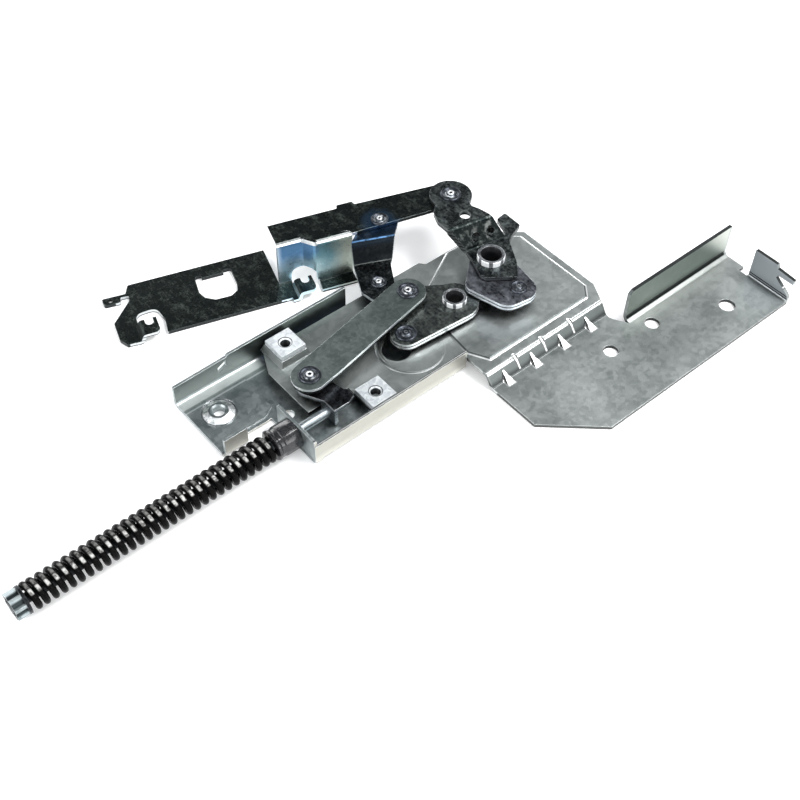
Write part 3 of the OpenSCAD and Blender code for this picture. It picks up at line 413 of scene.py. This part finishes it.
# On the plate the painted shade reaches far, so that it lies dark under the link, lever foot and rocker above it.
dress(steel("plate_steel", ZINC, paint=plate_paint, edge_color=plate_edges, wear=0.5, reach=0.014, full=0.34, painted_shade_amount=0.95,
            Light=(0.48, 0.51, 0.5, 1), Dark=(0.35, 0.38, 0.375, 1), Cloud=0.55, Spangle=0.25), "hinge_plate")


# Square nuts: bright zinc, staked into the plate. Each bore has a cut thread under a countersink, both near black as
# painted shade down the bore.
def turned(name, points, place, mat, steps=48, smooth=True, axis=(0, 0, 1)):
    """A piece turned on a lathe: points are (radius, height along the axis) in millimetres."""
    mesh = bmesh.new()
    up = Vector(axis)
    out = Vector((0, 1, 0)) if abs(up.x) > 0.5 else Vector((1, 0, 0))
    corners = [mesh.verts.new(Vector(place) + (out * r + up * h) * MM) for r, h in points]
    edges = [mesh.edges.new(pair) for pair in zip(corners, corners[1:])]
    bmesh.ops.spin(mesh, geom=corners + edges, cent=place, axis=up, angle=math.tau, steps=steps, use_merge=True)
    bmesh.ops.remove_doubles(mesh, verts=mesh.verts, dist=0.002 * MM)
    bmesh.ops.recalc_face_normals(mesh, faces=mesh.faces)
    return finished(name, mesh, mat, smooth)


def finished(name, mesh, mat, smooth=True):
    data = bpy.data.meshes.new(name)
    mesh.to_mesh(data)
    mesh.free()
    data.materials.append(mat)
    made = bpy.data.objects.new(name, data)
    bpy.context.scene.collection.objects.link(made)
    if smooth:
        data.shade_smooth()
        data.set_sharp_from_angle(angle=math.radians(38))
    return made


def top_middle(node):
    low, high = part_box(node)
    return Vector(((low[0] + high[0]) / 2, (low[1] + high[1]) / 2, high[2]))


nut_zinc = steel("nut_zinc", ZINC, metallic=0.35, Light=(0.74, 0.77, 0.79, 1), Dark=(0.44, 0.48, 0.51, 1), Cells=600.0,
                 Spangle=0.5, Cloud=1.2, wear=0.4, edge_color=(0.95, 0.97, 0.98, 1), painted_shade_amount=0.8, reach=0.0025)
# Near black, as painted shade: the threads in the nut bores and the rod's thread inside the crown nut.
thread_steel = steel("thread_steel", ZINC, Light=(0.03, 0.032, 0.033, 1), Dark=(0.01, 0.01, 0.011, 1), wear=0.4,
                     edge_color=(0.2, 0.21, 0.22, 1), radius=0.0001)
dress(nut_zinc, "rear_nut", "front_nut")
THREAD_PITCH, THREAD_OUT, THREAD_IN = 0.8, 2.57, 2.2
for nut, depth in (("rear_nut", 6), ("front_nut", 5)):
    profile = [(3.66, 0.03), (3.5, 0.03), (THREAD_OUT, -0.9)]
    for turn in range(depth):
        down = -0.95 - turn * THREAD_PITCH
        profile += [(THREAD_IN, down - THREAD_PITCH / 2), (THREAD_OUT, down - THREAD_PITCH)]
    thread = turned(nut + "_thread", profile, top_middle(nut), thread_steel)
    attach(thread, "base")


# Door arm: dark phosphated strip with a web and an upper plate bent up from it, and two hook lugs.
# The web's front is painted steel-blue to green as the reflection of a blue light, and the web's upper bend is painted
# white as a highlight.
# Round the guide link's rivet the plate is painted blue.
def make_mottle():
    tree, given, result = group(
        "mottled_steel", [("Dark", "Color", (0.03, 0.035, 0.04, 1)), ("Light", "Color", (0.3, 0.33, 0.33, 1)),
                          ("Share", "Float", 0.5), ("Scale", "Float", 90.0), ("Soft", "Float", 0.2)],
        [("Color", "Color"), ("Rough", "Float"), ("Height", "Float")])
    b = Looks(tree)
    place = b.place()
    blotch = b.noise(place, given["Scale"], 5.0, 0.62, 0.6)
    fine = b.noise(place, b.math("MULTIPLY", given["Scale"], 5.0), 4.0, 0.75)
    scratch = b.noise(b.vector("MULTIPLY", place, (900.0, 120.0, 120.0)), 1.0, 2.0, 0.6)
    tone = b.total(b.times(blotch, 0.5), b.times(fine, 0.38), b.times(scratch, 0.16))
    edge = b.math("SUBTRACT", 0.8, b.math("MULTIPLY", given["Share"], 0.55))
    share = b.ramp(tone, b.math("SUBTRACT", edge, given["Soft"]), b.math("ADD", edge, given["Soft"]))
    b.feed(result["Color"], b.mix(share, given["Dark"], given["Light"]))
    b.feed(result["Rough"], b.total(b.times(share, 0.15), b.times(fine, 0.5)))
    b.feed(result["Height"], b.total(fine, b.times(blotch, 0.5)))
    return tree


def make_sheared_rim():
    """The upright cut rim of a sheet, with a dark band along the lower side of each ply: partly the torn edge, partly
    painted shade of the gap under the ply. Each ply is Ply thick, from Low.
    """
    tree, given, result = group("sheared_rim", [("Low", "Float", 0.0), ("Ply", "Float", 2.0), ("Tear", "Float", 0.14)],
                                [("Mask", "Float"), ("TornAndShade", "Float")])
    b = Looks(tree)
    z = b.place_parts()[2]
    b.feed(result["Mask"], b.ramp(b.math("ABSOLUTE", b.face()[2]), 0.16, 0.08))
    height = b.math("FRACT", b.math("DIVIDE", b.math("SUBTRACT", z, given["Low"]), given["Ply"]))
    ragged = b.times(b.noise(b.vector("MULTIPLY", b.place(), (420.0, 420.0, 90.0)), 1.0, 3.0, 0.6), 0.2)
    b.feed(result["TornAndShade"], b.ramp(b.math("SUBTRACT", b.math("SUBTRACT", height, ragged), given["Tear"]), 0.04, -0.04))
    return tree


MOTTLE = make_mottle()
SHEARED_RIM = make_sheared_rim()
WEB_ALONG = (-0.95106, 0.30902, 0)


def rim_paint(bright, low=0.0, ply=2.0, torn_and_shade_share=0.14, torn_and_shade=(0.012, 0.012, 0.014, 1)):
    def paint(b, color):
        rim = b.call(SHEARED_RIM, Low=low, Ply=ply, Tear=torn_and_shade_share)
        # The bright rim is bare sheared metal; the dark band below it is partly the torn edge and partly painted shade.
        return b.mix(rim["Mask"], color, b.mix(rim["TornAndShade"], bright, torn_and_shade))
    return paint


def arm_paint(b, color):
    z = b.place_parts()[2]
    face_z = b.math("ABSOLUTE", b.face()[2])
    along = b.math("ADD", b.times(b.vector("DOT_PRODUCT", b.place(), WEB_ALONG), 1000.0), 154.71)
    openings = b.math("MAXIMUM", b.between(along, 163.6, 183.6, 0.5), b.between(along, 78.8, 98.8, 0.5))
    bared = b.mix(b.times(openings, b.ramp(z, 6.5, 6.0)), (0.04, 0.045, 0.045, 1), (0.62, 0.65, 0.66, 1))
    color = rim_paint(bared)(b, color)
    stretch = b.between(along, 56.5, 101.5, 0.5)
    # Painted reflection: the web's front is blue, teal and sage, changing with height and along the arm.
    web = b.times(b.ramp(face_z, 0.5, 0.3), stretch, b.between(z, 1.2, 28.4, 0.3))
    cloud = b.times(b.math("SUBTRACT", b.noise(b.place(), 75.0, 4.0, 0.6), 0.5), 16.0)
    up = b.ramp(b.math("ADD", z, cloud), 6.0, 22.0)
    run = b.math("ADD", along, cloud)
    blue = b.mix(up, (0.62, 0.82, 0.9, 1), (0.12, 0.26, 0.46, 1))
    teal = b.mix(up, (0.42, 0.56, 0.58, 1), (0.2, 0.38, 0.44, 1))
    sage = b.mix(up, (0.5, 0.56, 0.5, 1), (0.6, 0.66, 0.58, 1))
    tones = b.mix(b.ramp(run, 84.0, 76.0), blue, teal)
    tones = b.mix(b.ramp(run, 74.0, 62.0), tones, sage)
    tones = b.mix(b.ramp(along, 96.0, 100.5), tones, (0.75, 0.86, 0.95, 1))
    color = b.mix(web, color, tones)
    # Painted highlight: the web's upper bend and the plate's front edge are painted white.
    bend = b.times(b.between(face_z, 0.42, 0.8, 0.04), stretch, b.ramp(z, 26.0, 26.6))
    jog = b.times(b.ramp(face_z, 0.2, 0.1), stretch, b.ramp(z, 27.2, 27.6))
    color = b.mix(b.math("MAXIMUM", bend, jog), color, (0.98, 0.99, 1.0, 1))
    # The plate is painted dark blue round the guide link's rivet.
    from_link = b.vector("LENGTH", b.vector("SUBTRACT", b.vector("MULTIPLY", b.place(), (1000, 1000, 0)), (130, 33, 0)))
    blue_disc = b.times(b.ramp(b.total(from_link, cloud), 13.0, 5.0), b.ramp(z, 27.0, 28.0), 0.75)
    return b.mix(blue_disc, color, (0.05, 0.11, 0.2, 1))


dress(steel("arm_steel", MOTTLE, paint=arm_paint, wear=0.35, edge_color=(0.35, 0.38, 0.38, 1), painted_shade_amount=0.5,
            Dark=(0.022, 0.029, 0.028, 1), Light=(0.165, 0.2, 0.18, 1), Share=0.31, Scale=210.0, Soft=0.14),
      "door_arm")


# Main lever: thick dark steel, cranked down from its head to the foot it is riveted on, with two set marks.
# The crank is painted darker, with flecks, as shade on its slope. The marks are painted as dark pits with a highlight
# round their upper side.
LEFT_MARK, RIGHT_MARK = (163.8, -4.1, 0.0), (172.6, -5.9, 0.0)


def lever_paint(b, color):
    face_z = b.face()[2]
    # Painted shade on the crank's slope: darker, with lighter flecks.
    crank = b.between(face_z, 0.45, 0.965, 0.02)
    flecks = b.ramp(b.noise(b.place(), 380.0, 4.0, 0.7), 0.5, 0.66)
    scale = b.mix(flecks, (0.006, 0.008, 0.008, 1), (0.05, 0.058, 0.055, 1))
    color = b.mix(b.times(crank, 0.96), color, scale)
    place = b.vector("MULTIPLY", b.place(), (1000, 1000, 0))
    # Each mark is painted as a dark pit in shade, with a painted highlight round its upper side.
    mark_highlight_patches = b.ramp(b.noise(b.place(), 360.0, 3.0, 0.6), 0.4, 0.56)
    for mark, core, dark, bright in ((LEFT_MARK, 1.3, 0.006, 0.06), (RIGHT_MARK, 1.8, 0.002, 0.1)):
        away = b.vector("SUBTRACT", place, mark)
        reach = b.vector("LENGTH", away)
        upper = b.ramp(b.vector("DOT_PRODUCT", b.vector("NORMALIZE", away), (-0.6, 0.8, 0)), -0.3, 0.5)
        rim = b.times(b.between(reach, core + 0.2, core + 1.3, 0.4), upper, mark_highlight_patches)
        color = b.mix(rim, color, (bright, bright * 1.06, bright * 1.03, 1))
        color = b.mix(b.ramp(reach, core + 0.2, core - 0.2), color, (dark, dark, dark, 1))
    return rim_paint((0.16, 0.17, 0.17, 1), 19.0)(b, color)


dress(steel("lever_steel", MOTTLE, paint=lever_paint, wear=0.25, edge_color=(0.6, 0.63, 0.64, 1),
            Dark=(0.025, 0.03, 0.032, 1), Light=(0.22, 0.25, 0.25, 1), Share=0.42, Scale=150.0, Soft=0.14),
      "main_lever")


# Lever foot: two plies of smooth steel laid on each other, riveted under the lever, with bright sheared rims.
# Under each bright rim a dark band is painted: the torn edge, and the shade of the gap under the ply.
dress(steel("foot_steel", MOTTLE, paint=rim_paint((0.9, 0.94, 1.0, 1), 15.0, 2.0, 0.22), wear=0.5, painted_shade_amount=0.7,
            reach=0.002, Dark=(0.05, 0.053, 0.066, 1), Light=(0.33, 0.345, 0.38, 1), Share=0.5, Scale=130.0, Soft=0.2),
      "lever_foot_upper", "lever_foot_lower")


# Eyelets: the two turned bushes that the lever and the rocker swing on. The outside wall of each rolled collar is
# painted with bright highlight patches round it, and the bore is painted black as the shade inside it.
def eyelet_paint(centre, wall_r):
    def paint(b, color):
        away = b.vector("SUBTRACT", b.place(), (centre.x, centre.y, 0))
        reach = b.vector("LENGTH", b.vector("MULTIPLY", away, (1000, 1000, 0)))
        upright = b.ramp(b.math("ABSOLUTE", b.face()[2]), 0.85, 0.7)
        outside = b.ramp(reach, wall_r - 0.5, wall_r - 0.1)
        parts = b.add("SeparateXYZ", Vector=away)
        angle = b.math("ARCTAN2", parts.outputs["Y"], parts.outputs["X"])
        wander = b.times(b.noise(b.place(), 90.0, 1.0, 0.5), 4.0)
        # Painted highlight: seven bright patches round the collar's outside wall.
        patches = b.ramp(b.math("SINE", b.total(b.times(angle, 7.0), wander)), -0.65, -0.35, 0.06, 1.0)
        bright = b.times(outside, upright, patches)
        color = b.mix(bright, color, (0.97, 0.98, 0.99, 1))
        # Painted shade: the bore is black.
        return b.mix(b.ramp(reach, wall_r - 0.9, wall_r - 1.5), color, (0.012, 0.012, 0.014, 1))
    return paint


for node, wall_r in (("lever_eyelet", 7.0), ("rocker_eyelet", 5.9)):
    dress(steel(node + "_steel", MOTTLE, paint=eyelet_paint(top_middle(node), wall_r), wear=0.9, painted_shade_amount=0.25,
                reach=0.0015, metallic=0.3,
                Dark=(0.025, 0.026, 0.03, 1), Light=(0.2, 0.215, 0.23, 1), Share=0.45, Scale=200.0), node)


# Rivets: black oiled heads, each with a small bright ring where the end of its hollow shank is rolled over.
# Round the ring the heading tool has rubbed the black away in a broken circle.
def rivet_paint(centre, ring_r, rub):
    def paint(b, color):
        away = b.vector("SUBTRACT", b.place(), (centre.x, centre.y, 0))
        reach = b.vector("LENGTH", b.vector("MULTIPLY", away, (1000, 1000, 0)))
        broken = b.ramp(b.noise(b.place(), 480.0, 2.0, 0.5), 0.42, 0.52)
        wear_and_highlight = b.times(b.between(reach, ring_r + 1.3, ring_r + 1.8, 0.25), broken, b.ramp(b.face()[2], 0.3, 0.5))
        return b.mix(b.times(wear_and_highlight, rub), color, (0.78, 0.82, 0.85, 1))
    return paint


ring_zinc = steel("ring_zinc", ZINC, Light=(0.98, 0.98, 0.98, 1), Dark=(0.7, 0.72, 0.74, 1), Cells=900.0, wear=0.2,
                  painted_shade_amount=0.3, reach=0.001)
ring_dull = steel("ring_dull", ZINC, Light=(0.3, 0.32, 0.34, 1), Dark=(0.12, 0.13, 0.14, 1), Cells=900.0, wear=0.4,
                  painted_shade_amount=0.5, reach=0.001)
RINGS = {"foot_rivet": ("lever", 0.9, 0.3, 0.1, ring_dull), "arm_pivot_rivet": ("lever", 1.35, 0.5, 0.9, ring_zinc),
         "guide_link_rivet": ("arm", 1.1, 0.45, 0.9, ring_zinc), "guide_pivot_rivet": ("base", 1.1, 0.5, 0.4, ring_zinc),
         "rocker_rivet": ("rocker", 0.8, 0.3, 0.1, ring_dull), "rocker_link_rivet": ("tie", 1.35, 0.5, 0.7, ring_zinc),
         "rod_link_rivet": ("pull", 1.35, 0.5, 0.5, ring_zinc)}
for rivet, (body, ring_r, bead_r, rub, ring_steel) in RINGS.items():
    black = steel(rivet + "_black", MOTTLE, paint=rivet_paint(top_middle(rivet), ring_r, rub), wear=0.35,
                  edge_color=(0.5, 0.54, 0.58, 1), Dark=(0.02, 0.022, 0.028, 1), Light=(0.17, 0.19, 0.22, 1),
                  Share=0.4, Scale=260.0)
    dress(black, rivet)
    arc = [math.radians(a) for a in range(-30, 211, 20)]
    bead = [(ring_r + bead_r * math.cos(a), bead_r * (math.sin(a) - 0.1)) for a in arc]
    ring = turned(rivet + "_ring", bead, top_middle(rivet) - Vector((0, 0, 0.12 * MM)), ring_steel, 32)
    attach(ring, body)


# Guide link: a dark strap with a low step, turning on the plate and on the arm. Its step's slopes are painted near
# black as shade, its upper bend with a blue reflection and its lower bend with a lighter sheen; its upper end is
# painted dark blue.
def guide_paint(b, color):
    z = b.place_parts()[2]
    face_z = b.face()[2]
    color = b.mix(b.times(b.ramp(z, 24.0, 25.6), 0.5), color, (0.05, 0.1, 0.18, 1))
    # Painted shade: the step's slopes are near black.
    color = b.mix(b.times(b.between(face_z, 0.3, 0.95, 0.03), 0.9), color, (0.008, 0.01, 0.012, 1))
    patches = b.ramp(b.noise(b.place(), 210.0, 3.0, 0.6), 0.38, 0.6, 0.15, 1.0)
    # Painted reflection and sheen: blue patches on the upper bend, grey on the lower bend.
    upper_bend = b.times(b.between(face_z, 0.8, 0.975, 0.01), b.ramp(z, 22.0, 24.0), patches)
    lower_bend = b.times(b.between(face_z, 0.8, 0.975, 0.01), b.ramp(z, 20.0, 19.0))
    color = b.mix(upper_bend, color, (0.1, 0.22, 0.42, 1))
    color = b.mix(b.times(lower_bend, 0.6), color, (0.2, 0.22, 0.21, 1))
    return rim_paint((0.5, 0.54, 0.56, 1), 14.8)(b, color)


dress(steel("guide_steel", MOTTLE, paint=guide_paint, wear=0.45, edge_color=(0.6, 0.64, 0.66, 1),
            Dark=(0.02, 0.024, 0.026, 1), Light=(0.21, 0.23, 0.235, 1), Share=0.36, Scale=130.0, Soft=0.14),
      "guide_link")


# Rocker: two dark plies riveted together and swung on their eyelet, with white sheared rims.
# Under each white rim a dark band is painted: the torn edge, and the shade of the gap between the plies.
dress(steel("rocker_steel", MOTTLE, paint=rim_paint((0.98, 1.0, 1.0, 1), 10.5, 2.0, 0.22), wear=0.4, painted_shade_amount=0.7,
            reach=0.002, Dark=(0.05, 0.056, 0.055, 1), Light=(0.24, 0.27, 0.255, 1), Share=0.45, Scale=140.0,
            Soft=0.18), "rocker_upper", "rocker_lower")


# Tie link: a flat bar of plain zinc-grey steel between the rocker and the pull rod, blanked with bright rims.
# The dark band under the bright rim is widened as painted shade, for the shadow between the link and the parts below
# it.
dress(steel("tie_steel", ZINC, paint=rim_paint((0.98, 1.0, 1.0, 1), 17.1, 2.5, 0.36), wear=0.5, painted_shade_amount=0.8,
            Light=(0.25, 0.29, 0.275, 1), Dark=(0.14, 0.17, 0.165, 1), Cells=700.0), "tie_link")


# Pull rod: drawn round bar with its bracket, a pronged black stamping that hooks it to the tie link.
# Inside the spring the bar is painted black, for old grease and for the shade within the coils.
def rod_paint(b, color):
    return b.mix(b.ramp(b.place_parts()[0], 6.0, 4.0, 0.0, 0.93), color, (0.012, 0.013, 0.014, 1))


dress(steel("rod_steel", ZINC, paint=rod_paint, Light=(0.42, 0.46, 0.48, 1), Dark=(0.14, 0.16, 0.18, 1), Cells=600.0),
      "pull_rod")
dress(steel("hook_steel", MOTTLE, paint=rim_paint((0.3, 0.32, 0.34, 1), 11.7), wear=0.6,
            Dark=(0.008, 0.008, 0.01, 1), Light=(0.13, 0.14, 0.155, 1), Share=0.38, Scale=190.0), "rod_hook")
dress(steel("washer_steel", MOTTLE, wear=0.4, edge_color=(0.4, 0.42, 0.44, 1), Dark=(0.01, 0.011, 0.012, 1),
            Light=(0.1, 0.11, 0.12, 1), Share=0.4, Scale=200.0), "spring_washer")


# Crown nut: the fluted cup screwed on the far end of the pull rod, which holds the spring's washer.
# It is milled from bar, so its flutes run along the rod, and the end of the rod's thread shows in it.
ROD_Y, ROD_Z = -37 * MM, 8.3 * MM
CROWN_RIGHT, CROWN_LEN, CROWN_R, CROWN_FLUTE = -125.5 * MM, 5.4 * MM, 6.8 * MM, 0.8


def crown_mesh():
    mesh = bmesh.new()
    place = Matrix.Translation((CROWN_RIGHT, ROD_Y, ROD_Z)) @ Matrix.Rotation(-math.pi / 2, 4, "Y")
    bmesh.ops.create_circle(mesh, cap_ends=True, radius=CROWN_R, segments=32, matrix=place)
    middle = Vector((CROWN_RIGHT, ROD_Y, ROD_Z))
    for index, corner in enumerate(list(mesh.verts)):
        if index % 4 in (0, 1):
            corner.co = middle + (corner.co - middle) * CROWN_FLUTE
    face = mesh.faces[:][0]
    raised = bmesh.ops.extrude_face_region(mesh, geom=[face])
    front = [item for item in raised["geom"] if isinstance(item, bmesh.types.BMFace)][0]
    bmesh.ops.translate(mesh, verts=front.verts, vec=(-CROWN_LEN, 0, 0))
    bmesh.ops.inset_region(mesh, faces=[front], thickness=0.7 * MM)
    bmesh.ops.scale(mesh, verts=front.verts, vec=(1, 0.9, 0.9),
                    space=Matrix.Translation((0, -ROD_Y, -ROD_Z)))
    cup = bmesh.ops.extrude_face_region(mesh, geom=[front])
    deep = [item for item in cup["geom"] if isinstance(item, bmesh.types.BMFace)][0]
    bmesh.ops.translate(mesh, verts=deep.verts, vec=(1.6 * MM, 0, 0))
    bmesh.ops.delete(mesh, geom=[front], context="FACES_ONLY")
    bmesh.ops.recalc_face_normals(mesh, faces=mesh.faces)
    return mesh


def crown_paint(b, color):
    away = b.vector("SUBTRACT", b.place(), (0, ROD_Y, ROD_Z))
    reach = b.vector("LENGTH", b.vector("MULTIPLY", away, (0, 1000, 1000)))
    # Painted shade: dark inside the flutes and the cup.
    return b.mix(b.ramp(reach, 6.5, 5.6), color, (0.045, 0.055, 0.058, 1))


crown_zinc = steel("crown_zinc", ZINC, paint=crown_paint, Light=(0.48, 0.54, 0.56, 1), Dark=(0.1, 0.125, 0.13, 1),
                   wear=0.6, painted_shade_amount=0.9, reach=0.0025, Cloud=2.6)
crown = finished("crown_nut", crown_mesh(), crown_zinc)
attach(crown, "pull")
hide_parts("rod_end_nut")
rod_thread = turned("rod_thread", [(0, 1.0), (1.6, 1.0), (2.5, 0.3)] + [(r, -0.45 * k) for k in range(10)
                    for r in ((2.55, 2.25)[k % 2],)] + [(0, -4.2)], (-129.6 * MM, ROD_Y, ROD_Z), thread_steel, 36,
                    axis=(-1, 0, 0))
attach(rod_thread, "pull")


# Spring sleeve: the faceted black plastic bush between the spring and the channel's wall.
SLEEVE_LEFT, SLEEVE_LEN, SLEEVE_R, SLEEVE_FACETS = 5 * MM, 13 * MM, 8 * MM, 12


def sleeve_mesh():
    mesh = bmesh.new()
    place = Matrix.Translation((SLEEVE_LEFT, ROD_Y, ROD_Z)) @ Matrix.Rotation(math.pi / 2, 4, "Y")
    bmesh.ops.create_circle(mesh, cap_ends=True, radius=SLEEVE_R, segments=SLEEVE_FACETS, matrix=place)
    front = mesh.faces[:][0]
    for reach, size in ((1.4, 1.0), (0.4, 0.94), (2.0, 0.94), (0.5, 1.0), (8.7, 1.0)):
        raised = bmesh.ops.extrude_face_region(mesh, geom=[front])
        bmesh.ops.delete(mesh, geom=[front], context="FACES_ONLY") if reach != 1.4 else None
        front = [item for item in raised["geom"] if isinstance(item, bmesh.types.BMFace)][0]
        bmesh.ops.translate(mesh, verts=front.verts, vec=(reach * MM, 0, 0))
        for corner in front.verts:
            away = Vector((0, corner.co.y - ROD_Y, corner.co.z - ROD_Z))
            corner.co = Vector((corner.co.x, ROD_Y, ROD_Z)) + away.normalized() * SLEEVE_R * size
    bmesh.ops.recalc_face_normals(mesh, faces=mesh.faces)
    bmesh.ops.bevel(mesh, geom=mesh.edges[:], offset=0.25 * MM, segments=2, profile=0.5, affect="EDGES", material=-1)
    return mesh


sleeve_plastic = steel("sleeve_plastic", MOTTLE, metallic=0.0, edge_color=(0.12, 0.12, 0.13, 1), wear=0.5, gloss=-0.16,
                       specular=0.6, painted_shade_amount=0.5, Dark=(0.008, 0.008, 0.009, 1), Light=(0.025, 0.025, 0.028, 1),
                       Share=0.5, Scale=300.0)
sleeve = finished("faceted_sleeve", sleeve_mesh(), sleeve_plastic)
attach(sleeve, "base")
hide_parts("spring_sleeve")


# Compression spring: round wire coiled with a closed turn at each end and painted black. Along its upper side
# the crown of each coil carries a painted highlight glint and a grey painted sheen, in patches.
SPRING_LEFT, SPRING_RIGHT = -124 * MM, 5 * MM
WIRE_R, SPRING_R = 1.58 * MM, 7.25 * MM
TURNS, STEPS, SIDES = 30, 40, 14


def spring_mesh():
    mesh = bmesh.new()
    first, last = SPRING_LEFT + WIRE_R, SPRING_RIGHT - WIRE_R
    closed = 2 * WIRE_R + 0.05 * MM
    pitch = (last - first - 2 * closed) / (TURNS - 2)
    start = Matrix.Translation((first, ROD_Y + SPRING_R - WIRE_R, ROD_Z))
    made = bmesh.ops.create_circle(mesh, cap_ends=False, radius=WIRE_R, segments=SIDES, matrix=start)
    ring = made["verts"]
    ring += list({edge for corner in ring for edge in corner.link_edges})
    bmesh.ops.contextual_create(mesh, geom=[item for item in ring if isinstance(item, bmesh.types.BMEdge)])
    for turns, rise in ((1, closed), (TURNS - 2, pitch), (1, closed)):
        swept = bmesh.ops.spin(mesh, geom=ring, cent=(0, ROD_Y, ROD_Z), axis=(1, 0, 0), dvec=(rise / STEPS, 0, 0),
                               angle=math.tau * turns, steps=STEPS * turns)
        ring = swept["geom_last"]
    bmesh.ops.contextual_create(mesh, geom=[item for item in ring if isinstance(item, bmesh.types.BMEdge)])
    bmesh.ops.recalc_face_normals(mesh, faces=mesh.faces)
    return mesh


def spring_paint(b, color):
    away = b.vector("SUBTRACT", b.place(), (0, ROD_Y, ROD_Z))
    reach = b.vector("LENGTH", b.vector("MULTIPLY", away, (0, 1000, 1000)))
    out = b.vector("NORMALIZE", b.vector("MULTIPLY", away, (0, 1, 1)))
    patches = b.ramp(b.noise(b.place(), 520.0, 3.0, 0.65), 0.34, 0.58, 0.2, 1.0)
    crown_of_coil = b.times(b.ramp(reach, 6.8, 7.22), patches)
    # Painted highlights: a bright glint on the front-upper side and a grey sheen on top of each coil's crown.
    wear_and_highlight = b.ramp(b.vector("DOT_PRODUCT", out, (0, -0.42, 0.91)), 0.965, 0.998)
    top_sheen = b.ramp(b.vector("DOT_PRODUCT", out, (0, 0.1, 0.995)), 0.95, 0.995, 0.0, 0.3)
    return b.mix(b.times(b.math("MAXIMUM", wear_and_highlight, top_sheen), crown_of_coil), color, (0.6, 0.6, 0.58, 1))


spring_black = steel("spring_black", MOTTLE, metallic=0.0, edge_color=(0.02, 0.02, 0.02, 1), wear=0.1, painted_shade_amount=0.9,
                     specular=0.05, paint=spring_paint, Dark=(0.002, 0.002, 0.002, 1), Light=(0.006, 0.006, 0.005, 1),
                     Share=0.35, Scale=400.0, gloss=-0.05, bump=0.05)
spring = finished("coil_spring", spring_mesh(), spring_black)
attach(spring, "base")
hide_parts("compression_spring")
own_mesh(spring)


# Table: the plain pale board that the hinge lies on for its picture, lit through from below so that it stays white.
def table_mesh():
    mesh = bmesh.new()
    bmesh.ops.create_grid(mesh, x_segments=2, y_segments=2, size=8.0)
    bmesh.ops.translate(mesh, verts=mesh.verts, vec=(0, 0, -0.2 * MM))
    return mesh


table_white = bpy.data.materials.new("table_white")
table_white.use_nodes = True
table_shader = table_white.node_tree.nodes["Principled BSDF"]
table_shader.inputs["Base Color"].default_value = (0.93, 0.93, 0.93, 1)
table_shader.inputs["Roughness"].default_value = 0.7
table_shader.inputs["Emission Color"].default_value = (1, 1, 1, 1)
table_shader.inputs["Emission Strength"].default_value = 0.25
finished("table_top", table_mesh(), table_white, smooth=False)
